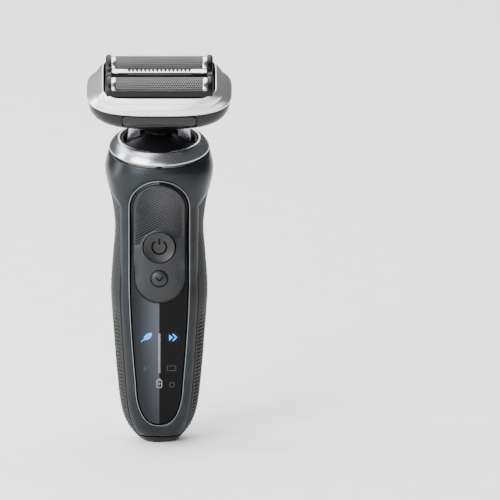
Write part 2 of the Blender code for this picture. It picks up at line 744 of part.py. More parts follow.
def make_motor():
    top = MOTOR_BOTTOM + MOTOR_LENGTH
    add_object("motor", rod_mesh((0, 0, MOTOR_BOTTOM), MOTOR_LENGTH, MOTOR_RADIUS, "Z", 28), STEEL, None)
    plate_low = top + GAP
    mount = rod_mesh((0, 0, plate_low), MOUNT_THICKNESS, MOUNT_RADIUS, "Z", 32)
    mount = add_object("motor_mount", mount, PALE_PLASTIC, None)
    cut(mount, rod_mesh((0, 0, plate_low - 1), MOUNT_THICKNESS + 2, SHAFT_RADIUS + 1.2, "Z", 16), None)
    plate_top = plate_low + MOUNT_THICKNESS
    for side, name in ((-1, "motor_screw_left"), (1, "motor_screw_right")):
        x = side * MOUNT_SCREW_SPREAD
        cut(mount, rod_mesh((x, 0, plate_low - 1), MOUNT_THICKNESS + 2, SCREW_RADIUS + GAP, "Z", 12), None)
        holder = empty(name + "_axis", (x, 0.0, plate_top + GAP))
        turned(name, screw_profile(MOUNT_THICKNESS), STEEL, holder, 12)
    shaft = rod_mesh((0, 0, top + GAP), MOUNT_THICKNESS + 2.0, SHAFT_RADIUS, "Z", 16)
    shaft = add_object("motor_shaft", shaft, STEEL, None)
    disc = rod_mesh((ECCENTRIC_OFFSET, 0, plate_top + 1.0), ECCENTRIC_THICKNESS, ECCENTRIC_RADIUS, "Z", 24)
    unite(shaft, disc, None)


# ---------------------------------------------------------------- collar and neck

def make_collar(collar):
    low = -COLLAR_RISE + 2 * GAP
    ring = [
        (COLLAR_OUTER, low), (COLLAR_OUTER - 1.6, low), (LIP_RADIUS - LIP_WIDTH, low),
        (LIP_RADIUS - LIP_WIDTH, -0.4), (LIP_RADIUS - 0.7, 0.0), (LIP_RADIUS, -0.15),
        (COLLAR_OUTER - 0.3, low + 1.0),
    ]
    turned("collar_ring", ring_down(ring), SILVER, collar, 56)
    seal = [(SEAL_OUTER, -0.7), (SEAL_OUTER, -4.4), (SEAL_INNER, -4.4)]
    seal += [(SEAL_INNER, -1.6), (SEAL_OUTER - 0.5, -0.5)]
    turned("collar_seal", ring_down(seal), RUBBER, collar, 48)


def ring_down(points):
    """The same ring profile, started at its highest outer point."""
    top = max(range(len(points)), key=lambda i: points[i][1])
    return points[top:] + points[:top]


def dome_point(radius, depth):
    """A point of the dome's profile, at a depth under its outer face."""
    return radius, DOME_RISE - depth - (DOME_RISE + DOME_DROP) * (radius / DOME_RIM) ** 2.2


def make_dome(collar):
    steps = 6
    profile = []
    for i in range(steps + 1):
        profile.append(dome_point(DOME_HOLE + (DOME_RIM - DOME_HOLE) * i / steps, 0.0))
    profile.append((DOME_RIM, -DOME_DROP - DOME_WALL - 0.1))
    for i in range(steps, -1, -1):
        profile.append(dome_point(DOME_HOLE + (DOME_RIM - DOME_WALL - DOME_HOLE) * i / steps, DOME_WALL))
    dome = turned("neck_dome", profile, RUBBER, collar, 44)
    for side in (-1, 1):
        edges = sorted((side * (LEG_INNER - 2.4), side * (LEG_OUTER_LOW + 4.0)))
        reach = LEG_HALF_DEPTH + 1.0
        cut(dome, box_mesh((edges[0], -reach, -6.0), (edges[1], reach, 5.0)), collar)


def make_bracket(collar):
    axis = -ROLL_AXIS_DEPTH
    profile = [
        (BRACKET_OUTER, axis + BRACKET_HALF_HEIGHT), (BRACKET_OUTER, axis - BRACKET_HALF_HEIGHT),
        (BRACKET_INNER, axis - BRACKET_HALF_HEIGHT), (BRACKET_INNER, axis + BRACKET_HALF_HEIGHT),
    ]
    bracket = turned("neck_bracket", profile, PALE_PLASTIC, collar, 40)
    hole = rod_mesh((0, -BRACKET_OUTER - 2, axis), 2 * BRACKET_OUTER + 4, ROLL_PIN_RADIUS + GAP, "Y", 16)
    cut(bracket, hole, collar)
    for side, name in ((-1, "roll_pin_front"), (1, "roll_pin_rear")):
        start = -BRACKET_OUTER if side < 0 else BRACKET_OUTER - ROLL_PIN_LENGTH
        pin = rod_mesh((0, start, axis), ROLL_PIN_LENGTH, ROLL_PIN_RADIUS, "Y", 16)
        add_object(name, pin, STEEL, collar)


def make_neck(collar, roll):
    """The carrier beam, its two legs, the drive pin and its sleeve. Heights are from the roll axle."""
    beam = box_mesh((-CARRIER_HALF_WIDTH, -CARRIER_HALF_DEPTH, CARRIER_BOTTOM),
                    (CARRIER_HALF_WIDTH, CARRIER_HALF_DEPTH, CARRIER_TOP), 0.4)
    beam = add_object("neck_carrier", beam, PALE_PLASTIC, roll)
    reach = CARRIER_HALF_DEPTH + 2.0
    cut(beam, rod_mesh((0, -reach, 0), 2 * reach, ROLL_PIN_RADIUS + GAP, "Y", 16), roll)
    slot_depth = DRIVE_RADIUS + 0.7
    cut(beam, box_mesh((-DRIVE_ROOM, -slot_depth, -4), (DRIVE_ROOM, slot_depth, 4)), roll)
    axle = PIVOT_RISE + ROLL_AXIS_DEPTH
    foot = CARRIER_TOP + GAP
    for side, name in ((-1, "leg_left"), (1, "leg_right")):
        outline = [
            (side * (CARRIER_HALF_WIDTH - 0.2), foot), (side * LEG_OUTER_LOW, 7.0),
            (side * LEG_OUTER_TOP, axle - 6.0), (side * LEG_OUTER_TOP, axle + 2.2),
            (side * LEG_INNER, axle + 2.2), (side * LEG_INNER, foot),
        ]
        leg = prism_mesh(outline, -LEG_HALF_DEPTH, LEG_HALF_DEPTH)
        leg = add_object(name, leg, SILVER, roll)
        start = min(side * (LEG_INNER - 1), side * (LEG_OUTER_LOW + 1))
        length = LEG_OUTER_LOW - LEG_INNER + 2.0
        cut(leg, rod_mesh((start, 0, axle), length, PIVOT_PIN_RADIUS + GAP, "X", 16), roll)
    pin = rod_mesh((0, 0, -4.0), axle + 5.0, DRIVE_RADIUS, "Z", 16)
    add_object("drive_pin", pin, STEEL, roll)
    low = ROLL_AXIS_DEPTH + DOME_RISE + BOOT_GAP
    width = BOOT_RADIUS - DRIVE_ROOM
    shares = ((0.23, 1.0), (0.3, 0.74), (0.45, 0.48), (0.92, 0.07), (1.0, 0.0), (0.83, 0.0), (0.13, 0.37),
              (0.0, 0.93), (0.0, 1.0))
    boot = [(DRIVE_ROOM + across * width, low + up * BOOT_RISE) for across, up in shares]
    turned("drive_boot", boot, RUBBER, roll, 28)


# ---------------------------------------------------------------- head

def make_head_frame(head):
    count = 48
    top = RIM_HEIGHT
    rings = []
    widths = (
        (OPENING_HALF_WIDTH, OPENING_HALF_DEPTH, OPENING_POWER, top - RIM_LIP, 0.0),
        (OPENING_HALF_WIDTH, OPENING_HALF_DEPTH, OPENING_POWER, top - 0.3, 1.0),
        (OPENING_HALF_WIDTH + 0.4, OPENING_HALF_DEPTH + 0.3, 7.0, top, 1.0),
        (HEAD_HALF_WIDTH - 2.7, HEAD_HALF_DEPTH - 0.5, 3.6, top - 4.1, 1.2),
        (HEAD_HALF_WIDTH, HEAD_HALF_DEPTH, HEAD_POWER, top - 6.0, 0.4),
        (HEAD_HALF_WIDTH - 0.3, HEAD_HALF_DEPTH - 0.2, HEAD_POWER, FRAME_BOTTOM, 0.0),
        (TRAY_HALF_WIDTH, TRAY_HALF_DEPTH, TRAY_POWER, FRAME_BOTTOM, 0.0),
        (TRAY_HALF_WIDTH, TRAY_HALF_DEPTH, TRAY_POWER, top - RIM_LIP, 0.0),
    )
    for half_x, half_y, power, height, rise in widths:
        ring = []
        for x, y in superellipse(half_x, half_y, power, count):
            end = RIM_END_RISE * blend_steps(abs(x) / half_x, RIM_RISE_START, 1.0)
            ring.append((x, y, height + end * rise))
        rings.append(ring)
    add_object("head_frame", loft_mesh(rings, wrap_rings=True, caps=False), SILVER, head)


def base_section(height):
    """Half width, half depth of the dark lower head shell."""
    share = (height - BASE_BOTTOM) / (FRAME_BOTTOM - BASE_BOTTOM)
    grow = sqrt(max(1 - (1 - share) ** 2.4, 0.0))
    half_x = HEAD_HALF_WIDTH - 6.2 + 5.8 * grow
    half_y = HEAD_HALF_DEPTH - 3.2 + 2.9 * grow
    return half_x, half_y


def make_head_base(head):
    count = 48
    heights = (BASE_BOTTOM, -2.8, -1.2, 1.2, FRAME_BOTTOM - GAP)
    rings = []
    for height in heights:
        half_x, half_y = base_section(height)
        rings.append([(x, y, height) for x, y in superellipse(half_x, half_y, HEAD_POWER, count)])
    base = add_object("head_base", loft_mesh(rings), BLACK_PLASTIC, head)
    pocket = superellipse(TRAY_HALF_WIDTH, TRAY_HALF_DEPTH, TRAY_POWER, 32)
    cut(base, prism_mesh(pocket, BASE_FLOOR, FRAME_BOTTOM + 2, "Z"), head)
    low, top = BASE_BOTTOM - 1.0, BASE_FLOOR + 1.0
    for side in (-1, 1):
        x = sorted((side * (LEG_INNER - 2 * GAP), side * (LEG_OUTER_TOP + 2 * GAP)))
        reach = 2 * LEG_HALF_DEPTH
        cut(base, box_mesh((x[0], -reach, low), (x[1], reach, top)), head)
    hole = rod_mesh((-PIN_OUTER - GAP, 0, 0), 2 * PIN_OUTER + 2 * GAP, PIVOT_PIN_RADIUS + GAP, "X", 16)
    cut(base, hole, head)
    clear = BRIDGE_HALF + 0.2 + DRIVE_TRAVEL + 2 * GAP
    reach = BRIDGE_HALF + 0.2 + GAP
    cut(base, box_mesh((-clear, -reach, low), (clear, reach, top)), head)
    clear = BRIDGE_ARM_HALF + 0.2 + DRIVE_TRAVEL + 2 * GAP
    cut(base, box_mesh((-clear, -BRIDGE_REACH - 2 * GAP, 0.0), (clear, BRIDGE_REACH + 2 * GAP, top)), head)
    for side in (-1, 1):
        deep = HEAD_HALF_DEPTH - PANEL_DEPTH - RELEASE_TRAVEL - 1.9
        y = sorted((side * deep, side * (HEAD_HALF_DEPTH + 2)))
        cut(base, box_mesh((-PANEL_HALF_WIDTH - GAP, y[0], PANEL_BOTTOM - GAP),
                           (PANEL_HALF_WIDTH + GAP, y[1], PANEL_TOP)), head)


def make_pivot_pins(head):
    for side, name in ((-1, "pivot_pin_left"), (1, "pivot_pin_right")):
        start = min(side * PIN_INNER, side * PIN_OUTER)
        pin = rod_mesh((start, 0, 0), PIN_OUTER - PIN_INNER, PIVOT_PIN_RADIUS, "X", 16)
        add_object(name, pin, STEEL, head)


def make_release_buttons(head):
    steps = 10
    for side, name in ((-1, "release_button_front"), (1, "release_button_rear")):
        rings = []
        for height in (PANEL_BOTTOM, 0.8, 1.6, PANEL_TOP - GAP):
            half_x, half_y = base_section(height)
            ring = []
            for i in range(steps + 1):
                x = PANEL_HALF_WIDTH * (2 * i / steps - 1)
                y = (half_y + PANEL_PROUD) * (1 - abs(x / half_x) ** HEAD_POWER) ** (1 / HEAD_POWER)
                ring.append((-side * x, side * y, height))
            rings.append(ring)
        panel = add_object(name, sheet_mesh(rings), GLOSS_BLACK, head)
        thicken(panel, PANEL_DEPTH)


def make_cassette_frame(head):
    outer = superellipse(TRAY_HALF_WIDTH - GAP, TRAY_HALF_DEPTH - GAP, TRAY_POWER, 40)
    tray = prism_mesh(outer, TRAY_BOTTOM, TRAY_TOP, "Z")
    tray = add_object("cassette_frame", tray, BLACK_PLASTIC, head)
    inner = superellipse(OPENING_HALF_WIDTH + 0.05, OPENING_HALF_DEPTH + 0.02, OPENING_POWER, 40)
    cut(tray, prism_mesh(inner, TRAY_BOTTOM + TRAY_FLOOR, TRAY_TOP + 2, "Z"), head)
    clear = DRIVE_TRAVEL + 2 * GAP
    for y in (-ELEMENT_SPACING, 0.0, ELEMENT_SPACING):
        half = POST_RADIUS + 0.1
        start = (-half - clear, y - half - GAP, TRAY_BOTTOM - 1)
        hole = box_mesh(start, (half + clear, y + half + GAP, TRAY_TOP))
        cut(tray, hole, head)


def make_element(head, side, place):
    """A foil, its holder and the blade block under it, all on the element's own centre line."""
    y0 = side * ELEMENT_SPACING
    centre = empty(place + "_element", (0, y0, 0), head)
    crest = FOIL_CENTRE + FOIL_RADIUS
    rings = []
    for height, inset in ((HOLDER_BOTTOM, 0.0), (crest - 2.6, 0.0), (crest - 1.4, 0.6), (crest - 0.7, 1.6),
                          (crest - 0.4, 2.8)):
        half_x = HOLDER_HALF_WIDTH - 0.4 * inset
        outline = rounded_box(half_x, HOLDER_HALF_DEPTH - inset, HOLDER_CORNER - inset * 0.7)
        rings.append([(x, y, height) for x, y in outline])
    holder = add_object("foil_holder_" + place, loft_mesh(rings), BLACK_PLASTIC, centre)
    inside, wide = HOLDER_INSIDE, 2 * HOLDER_HALF_DEPTH
    cut(holder, box_mesh((-inside, -wide, FOIL_CENTRE + 2.0), (inside, wide, crest + 2)), centre)
    room = FOIL_RADIUS + GAP
    cut(holder, box_mesh((-inside, -room, HOLDER_BOTTOM - 1), (inside, room, crest)), centre)
    arc = [(-FOIL_RADIUS, FOIL_CENTRE - FOIL_SKIRT)]
    turns = [pi * i / 14 for i in range(15)]
    arc += [(-FOIL_RADIUS * cos(turn), FOIL_CENTRE + FOIL_RADIUS * sin(turn)) for turn in turns]
    arc += [(FOIL_RADIUS, FOIL_CENTRE - FOIL_SKIRT)]
    half = inside - GAP
    rows = [[(x, y, z) for y, z in reversed(arc)] for x in (-half, half)]
    foil = add_object("foil_" + place, sheet_mesh(rows), STEEL, centre)
    thicken(foil, FOIL_SHEET)
    r = CUTTER_RADIUS
    block = [(-r, FOIL_CENTRE - CUTTER_SKIRT)]
    block += [(-r * cos(pi * i / 12), FOIL_CENTRE + r * sin(pi * i / 12)) for i in range(13)]
    block += [(r, FOIL_CENTRE - CUTTER_SKIRT)]
    block = prism_mesh(block[::-1], -CUTTER_HALF_WIDTH, CUTTER_HALF_WIDTH, "X")
    cutter = add_object("cutter_" + place, block, STEEL, centre)
    socket = rod_mesh((0, 0, FOIL_CENTRE - CUTTER_SKIRT - 1.0), 3.6, POST_RADIUS + GAP, "Z", 14)
    cut(cutter, socket, centre)
    make_spring("cutter_spring_" + place, centre)


def make_spring(name, parent):
    low = TRAY_BOTTOM + TRAY_FLOOR + GAP + SPRING_WIRE
    high = FOIL_CENTRE - CUTTER_SKIRT - GAP - SPRING_WIRE
    steps = SPRING_TURNS * 10
    curve = bpy.data.curves.new(name, "CURVE")
    curve.dimensions = "3D"
    curve.bevel_depth = SPRING_WIRE * MM
    curve.bevel_resolution = 0
    curve.use_fill_caps = True
    line = curve.splines.new("POLY")
    line.points.add(steps)
    for i in range(steps + 1):
        turn = 2 * pi * SPRING_TURNS * i / steps
        height = low + (high - low) * i / steps
        point = Vector((SPRING_RADIUS * cos(turn), SPRING_RADIUS * sin(turn), height)) * MM
        line.points[i].co = (*point, 1.0)
    spring = bpy.data.objects.new(name, curve)
    PARTS.objects.link(spring)
    spring.data.materials.append(make_material(name + "_material", STEEL))
    spring.parent = parent


def make_trimmer(head):
    low, top = HOLDER_BOTTOM, FOIL_CENTRE + 2.2
    half = TRIMMER_HALF_DEPTH
    body = prism_mesh(rounded_box(HOLDER_HALF_WIDTH, half, half * 0.7), low, top, "Z")
    carrier = add_object("trimmer_carrier", body, BLACK_PLASTIC, head)
    slot = half - 0.75
    inside = HOLDER_INSIDE
    cut(carrier, box_mesh((-inside, -slot, 9.0), (inside, slot, top + 2)), head)
    reach = TONGUE_HALF + DRIVE_TRAVEL + 2 * GAP
    cut(carrier, box_mesh((-reach, -slot, low - 1), (reach, slot, 10.0)), head)
    reach = CUTTER_HALF_WIDTH + 0.2
    blade = box_mesh((-reach, -slot + GAP, 9.3), (reach, slot - GAP, top - 0.2))
    blade = add_object("trimmer_blade", blade, STEEL, head)
    reach = TONGUE_HALF + 0.4
    cut(blade, box_mesh((-reach, -slot - 1, 8.0), (reach, slot + 1, TONGUE_TOP + 2.0)), head)
    comb = box_mesh((-inside + GAP, -half + 0.35, top + GAP), (inside - GAP, half - 0.35, top + 1.3), 0.15)
    add_object("trimmer_comb", comb, STEEL, head)


def make_bridge(head):
    half, arm = BRIDGE_HALF, BRIDGE_ARM_HALF
    bridge = box_mesh((-half, -half, -2.0), (half, half, 2.6))
    bridge = add_object("cutter_bridge", bridge, PALE_PLASTIC, head)
    unite(bridge, box_mesh((-arm, -BRIDGE_REACH, 0.6), (arm, BRIDGE_REACH, 2.4)), head)
    for side in (-1, 1):
        unite(bridge, rod_mesh((0, side * ELEMENT_SPACING, 1.0), 8.3, POST_RADIUS, "Z", 14), head)
    unite(bridge, box_mesh((-TONGUE_HALF, -0.45, 1.0), (TONGUE_HALF, 0.45, TONGUE_TOP)), head)
    cut(bridge, rod_mesh((0, 0, -3.0), 4.5, DRIVE_RADIUS + BRIDGE_PLAY, "Z", 18), head)


def build():
    make_shells()
    make_base_cap()
    make_inlet()
    make_window()
    make_buttons()
    make_electronics()
    make_motor()
    lip = (0.0, 0.0, HANDLE_LENGTH + COLLAR_RISE)
    collar = empty("collar_frame", lip, None, COLLAR_TILT)
    roll = empty("roll_axis", (0, 0, -ROLL_AXIS_DEPTH), collar)
    head = empty("head_axis", (0, 0, PIVOT_RISE), collar, HEAD_TILT - COLLAR_TILT)
    make_collar(collar)
    make_dome(collar)
    make_bracket(collar)
    make_neck(collar, roll)
    make_head_base(head)
    make_head_frame(head)
    make_pivot_pins(head)
    make_release_buttons(head)
    make_cassette_frame(head)
    make_element(head, -1, "front")
    make_element(head, 1, "rear")
    make_trimmer(head)
    make_bridge(head)


clear_scene()
PARTS = make_collection("electric_shaver")
CUTTERS = make_collection("electric_shaver_cutters")
build()
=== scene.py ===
"""Looks of the three-element foil shaver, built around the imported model.

Pieces are shaped in millimetres and turned to metres when they are finished. The handle's skin, the
tilted collar and the tilted head each have their own small set of sizes and functions.
"""
import json
from math import sin, cos, tan, pi, radians, asin, sqrt, hypot

import bmesh
import bpy
from mathutils import Matrix, Vector


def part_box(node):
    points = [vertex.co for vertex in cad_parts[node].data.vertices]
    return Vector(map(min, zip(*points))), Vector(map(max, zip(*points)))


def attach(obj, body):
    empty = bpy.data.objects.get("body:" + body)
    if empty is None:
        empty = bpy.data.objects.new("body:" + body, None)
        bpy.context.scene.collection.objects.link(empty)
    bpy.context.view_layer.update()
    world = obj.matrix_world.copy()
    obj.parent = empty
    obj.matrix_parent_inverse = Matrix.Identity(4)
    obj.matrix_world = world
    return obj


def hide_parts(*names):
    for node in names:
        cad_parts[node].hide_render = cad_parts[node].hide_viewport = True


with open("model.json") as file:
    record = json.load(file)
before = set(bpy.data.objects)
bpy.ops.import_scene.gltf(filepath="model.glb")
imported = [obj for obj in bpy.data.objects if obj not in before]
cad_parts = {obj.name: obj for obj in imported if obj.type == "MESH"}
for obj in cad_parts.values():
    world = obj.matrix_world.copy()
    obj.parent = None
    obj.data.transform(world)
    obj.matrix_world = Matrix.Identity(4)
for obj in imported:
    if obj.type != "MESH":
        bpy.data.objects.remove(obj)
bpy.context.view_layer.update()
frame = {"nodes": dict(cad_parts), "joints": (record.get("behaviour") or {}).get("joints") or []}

MM = 0.001
JOINTS = {joint["name"]: joint for joint in frame["joints"]}
NODES = frame["nodes"]

# Handle skin, as the model has it
HANDLE_LENGTH = 124.8
HANDLE_WIDTH = 45.0
HANDLE_DEPTH = 41.6
COLLAR_OUTER = 20.9
BODY_POWER = 2.4
COLLAR_TILT = radians(10.0)
# Share of the handle's length, then shares of its half width, half depth in front and half depth behind
STATIONS = (
    (0.000, 0.290, 0.270, 0.270),
    (0.018, 0.420, 0.375, 0.375),
    (0.060, 0.600, 0.530, 0.530),
    (0.120, 0.712, 0.640, 0.655),
    (0.240, 0.790, 0.720, 0.770),
    (0.370, 0.845, 0.765, 0.860),
    (0.520, 0.900, 0.805, 0.910),
    (0.640, 0.862, 0.780, 0.875),
    (0.740, 0.822, 0.775, 0.850),
    (0.830, 0.875, 0.840, 0.870),
    (0.895, 0.958, 0.925, 0.930),
    (0.945, 1.000, 0.990, 0.990),
    (1.000, 2 * COLLAR_OUTER / HANDLE_WIDTH, 2 * COLLAR_OUTER / HANDLE_DEPTH,
     2 * COLLAR_OUTER / HANDLE_DEPTH),
)
SHELL_START = 3.4 / HANDLE_LENGTH
GRIP_START = 4.0 / HANDLE_LENGTH
GRIP_END = 0.905
SHELL_WALL = 1.7
REAR_WALL = 1.4
GRIP_WALL = 1.2
UNDER_GRIP = 1.6
SEAM_SHARE = 0.80
SEAM_RISE = (0.80, 0.89)
SEAM_GAP = 0.5

# Front outlines
WINDOW_TOP = 116.0
WINDOW_BOTTOM = 8.6
WINDOW_HALF_WIDTH = 12.8
WINDOW_LOW_HALF_WIDTH = 10.2
WINDOW_TAPER = (72.0, 27.0)
TRIM_WIDTH = 0.35
PAD_TOP = 114.2
PAD_HALF_WIDTH = 10.45
PAD_BOTTOM = 63.05
PAD_PROUD = 0.7
POWER_HEIGHT = 86.8
POWER_RADIUS = 6.5
MODE_HEIGHT = 73.5
MODE_RADIUS = 3.4
BUTTON_GAP = 0.3

# Collar, neck and head
LIP_CENTRE = Vector((0.0, 0.0, 130.0))
COLLAR_FRAME = Matrix.Translation(LIP_CENTRE) @ Matrix.Rotation(COLLAR_TILT, 4, "X")
HEAD_TILT = radians(22.0)
HEAD_CENTRE = Vector(JOINTS["head_pitch"]["pos_m"]) / MM
HEAD_FRAME = Matrix.Translation(HEAD_CENTRE) @ Matrix.Rotation(HEAD_TILT, 4, "X")
HEAD_HALF_WIDTH = 30.0
HEAD_HALF_DEPTH = 17.6
HEAD_POWER = 3.0
OPENING_HALF_WIDTH = 23.1
OPENING_HALF_DEPTH = 14.0
OPENING_POWER = 9.0
RIM_HEIGHT = 11.3
RIM_LIP = 1.7
RIM_END_RISE = 1.3
RIM_RISE_START = 0.72
RIM_POINTS = 144
REAR_POWER = 3.6
FRAME_BOTTOM = 4.5
BASE_BOTTOM = -3.6
BASE_TOP = 4.2
BASE_FLOOR = 3.0
FOIL_CENTRE = 12.0
FOIL_RADIUS = 4.6
ELEMENT_SPACING = 7.75
HOLDER_HALF_WIDTH = 22.2
HOLDER_HALF_DEPTH = 5.7
HOLDER_BOTTOM = 6.3
HOLDER_INSIDE = 19.9
LEG_INNER = 7.6
LEG_OUTER_TOP = 11.2
LEG_OUTER_LOW = 13.4
LEG_HALF_DEPTH = 2.6
SEAL_INNER = 15.0
LIP_RADIUS = 17.1


# ---------------------------------------------------------------- small tools

def colour(code):
    """An sRGB hex value as linear light."""
    parts = [int(code[i:i + 2], 16) / 255 for i in (1, 3, 5)]
    linear = [part / 12.92 if part <= 0.04045 else ((part + 0.055) / 1.055) ** 2.4 for part in parts]
    return (*linear, 1.0)


def add(tree, kind, inputs=None, **settings):
    """Adds a node, with its settings, and with inputs that are values or other nodes' outputs."""
    item = tree.nodes.new(kind)
    for name, value in settings.items():
        setattr(item, name, value)
    for name, value in (inputs or {}).items():
        if isinstance(value, bpy.types.NodeSocket):
            tree.links.new(value, item.inputs[name])
        else:
            item.inputs[name].default_value = value
    return item


def blend_steps(value, start, end):
    share = min(max((value - start) / (end - start), 0.0), 1.0)
    return share * share * (3 - 2 * share)


def signed_power(value, power):
    return abs(value) ** power * (1 if value >= 0 else -1)


def superellipse(half_x, half_y, front_power, count, rear_power=None):
    """Points of a squarish oval, which crowd together at its corners."""
    points = []
    for i in range(count):
        turn = 2 * pi * i / count
        power = front_power if cos(turn) >= 0 or rear_power is None else rear_power
        points.append((half_x * signed_power(sin(turn), 2 / power),
                       -half_y * signed_power(cos(turn), 2 / power)))
    return points


def rounded_box(half_x, half_y, radius, arc_steps=6):
    points = []
    for side_x, side_y, start in ((1, -1, -pi / 2), (1, 1, 0.0), (-1, 1, pi / 2), (-1, -1, pi)):
        for i in range(arc_steps + 1):
            turn = start + pi / 2 * i / arc_steps
            points.append((side_x * (half_x - radius) + radius * cos(turn),
                           side_y * (half_y - radius) + radius * sin(turn)))
    return points


def circle(radius, height, sides=64):
    turns = [2 * pi * i / sides for i in range(sides)]
    return [(radius * sin(turn), height + radius * cos(turn)) for turn in turns]


SMALL = 0.0005


def all_of(bm):
    return bm.verts[:] + bm.edges[:] + bm.faces[:]


AXES = {"X": Vector((1, 0, 0)), "Y": Vector((0, 1, 0)), "Z": Vector((0, 0, 1))}


def slab(outline, near, far, axis="Y"):
    """A flat outline given a thickness. On Y its points are across and up, on Z across and back."""
    bm = bmesh.new()
    corners = {"X": lambda a, b: (near, a, b), "Y": lambda a, b: (a, near, b), "Z": lambda a, b: (a, b, near)}
    bm.faces.new([bm.verts.new(corners[axis](a, b)) for a, b in outline])
    grown = bmesh.ops.extrude_face_region(bm, geom=bm.faces[:])
    far_side = [item for item in grown["geom"] if isinstance(item, bmesh.types.BMVert)]
    bmesh.ops.translate(bm, verts=far_side, vec=AXES[axis] * (far - near))
    bmesh.ops.recalc_face_normals(bm, faces=bm.faces)
    return bm


def box(low, high):
    low, high = Vector(low), Vector(high)
    bm = bmesh.new()
    size = high - low
    place = Matrix.Translation((low + high) / 2) @ Matrix.Diagonal((*size, 1.0))
    bmesh.ops.create_cube(bm, size=1.0, matrix=place)
    return bm


def rod(centre, radius, length, axis, sides=32):
    turns = {"X": Matrix.Rotation(pi / 2, 4, "Y"), "Y": Matrix.Rotation(pi / 2, 4, "X"),
             "Z": Matrix.Identity(4)}
    bm = bmesh.new()
    bmesh.ops.create_cone(bm, cap_ends=True, segments=sides, radius1=radius, radius2=radius, depth=length,
                          matrix=Matrix.Translation(centre) @ turns[axis])
    return bm


def turned(profile, steps=96, closed=False):
    """A solid turned about Z from a profile of (radius, height) points."""
    bm = bmesh.new()
    verts = [bm.verts.new((radius, 0.0, height)) for radius, height in profile]
    pairs = list(zip(verts, verts[1:]))
    if closed:
        pairs.append((verts[-1], verts[0]))
    edges = [bm.edges.new(pair) for pair in pairs]
    bmesh.ops.spin(bm, geom=verts + edges, cent=(0, 0, 0), axis=(0, 0, 1), angle=2 * pi, steps=steps,
                   use_merge=True)
    bmesh.ops.remove_doubles(bm, verts=bm.verts, dist=SMALL)
    bmesh.ops.recalc_face_normals(bm, faces=bm.faces)
    return bm


def loft(rings, cap_ends=True, close_rings=False):
    """Closed outlines, each a list of points, joined one to the next."""
    bm = bmesh.new()
    loops = []
    for ring in rings:
        verts = [bm.verts.new(point) for point in ring]
        loops.append([bm.edges.new((verts[i - 1], verts[i])) for i in range(len(verts))])
    pairs = list(zip(loops, loops[1:]))
    if close_rings:
        pairs.append((loops[-1], loops[0]))
    for here, there in pairs:
        bmesh.ops.bridge_loops(bm, edges=here + there)
    if cap_ends and not close_rings:
        for loop in (loops[0], loops[-1]):
            bmesh.ops.contextual_create(bm, geom=loop)
    bmesh.ops.recalc_face_normals(bm, faces=bm.faces)
    return bm


def join(*parts):
    """Several shapes as one, each still closed by itself."""
    whole = bmesh.new()
    for part in parts:
        mesh = bpy.data.meshes.new("part")
        part.to_mesh(mesh)
        part.free()
        whole.from_mesh(mesh)
        bpy.data.meshes.remove(mesh)
    return whole


def as_object(bm, name):
    mesh = bpy.data.meshes.new(name)
    bm.to_mesh(mesh)
    bm.free()
    item = bpy.data.objects.new(name, mesh)
    bpy.context.scene.collection.objects.link(item)
    return item


def combine(bm, others, operation="DIFFERENCE"):
    """Cuts the other shapes out of this one, or joins them to it."""
    item = as_object(bm, "work_shape")
    helpers = []
    for other in others:
        helper = as_object(other, "work_cutter")
        modifier = item.modifiers.new("cut", "BOOLEAN")
        modifier.operation = operation
        modifier.object = helper
        helpers.append(helper)
    bpy.context.view_layer.update()
    result = bmesh.new()
    result.from_object(item, bpy.context.evaluated_depsgraph_get())
    for helper in [item] + helpers:
        mesh = helper.data
        bpy.data.objects.remove(helper)
        bpy.data.meshes.remove(mesh)
    bmesh.ops.remove_doubles(result, verts=result.verts, dist=0.001)
    return result


def soften(bm, width, segments=2, angle=30.0, only=None):
    """Rounds the edges that are sharper than an angle."""
    edges = [e for e in bm.edges if len(e.link_faces) == 2 and e.calc_face_angle(0.0) > radians(angle)]
    if only:
        edges = [e for e in edges if only(e)]
    bmesh.ops.bevel(bm, geom=edges, offset=width, segments=segments, profile=0.5, affect="EDGES",
                    material=-1, clamp_overlap=True)
    return bm


def slice_up(bm, axis, places):
    """Cuts faces along level planes, so that a flat piece can be bent."""
    normal = AXES[axis]
    for place in places:
        bmesh.ops.bisect_plane(bm, geom=all_of(bm), dist=SMALL, plane_co=normal * place, plane_no=normal)


def steps_between(low, high, step):
    count = max(int((high - low) / step), 1)
    return [low + (high - low) * i / count for i in range(1, count)]


def bend(bm, shape):
    for vert in bm.verts:
        vert.co = shape(vert.co)
    return bm


def moved(bm, matrix):
    bmesh.ops.transform(bm, matrix=matrix, verts=bm.verts)
    return bm


def piece(name, bm, material, body, nodes=(), sharp=35.0, wall=0.0, offset=-1.0):
    """A finished piece: metres, smooth faces, its material, the body it rides on and what it stands for."""
    bmesh.ops.scale(bm, vec=(MM, MM, MM), verts=bm.verts)
    item = as_object(bm, name)
    item.data.materials.append(material)
    item.data.shade_smooth()
    item.data.set_sharp_from_angle(angle=radians(sharp))
    if wall:
        solid = item.modifiers.new("wall", "SOLIDIFY")
        solid.thickness = wall * MM
        solid.offset = offset
        solid.use_even_offset = True
    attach(item, body)
    if nodes:
        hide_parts(*nodes)
    return item


# ---------------------------------------------------------------- the handle's skin

def station_value(share, column):
    """A smooth curve through the stations."""
    last = len(STATIONS) - 1
    place = max(i for i in range(last) if STATIONS[i][0] <= share or i == 0)
    low, high = STATIONS[place], STATIONS[place + 1]
    span = high[0] - low[0]

    def slope(i):
        before, after = STATIONS[max(i - 1, 0)], STATIONS[min(i + 1, last)]
        return (after[column] - before[column]) / (after[0] - before[0])

    t = (share - low[0]) / span
    value = (2 * t ** 3 - 3 * t ** 2 + 1) * low[column] + (3 * t ** 2 - 2 * t ** 3) * high[column]
    value += (t ** 3 - 2 * t ** 2 + t) * span * slope(place) + (t ** 3 - t ** 2) * span * slope(place + 1)
    return value


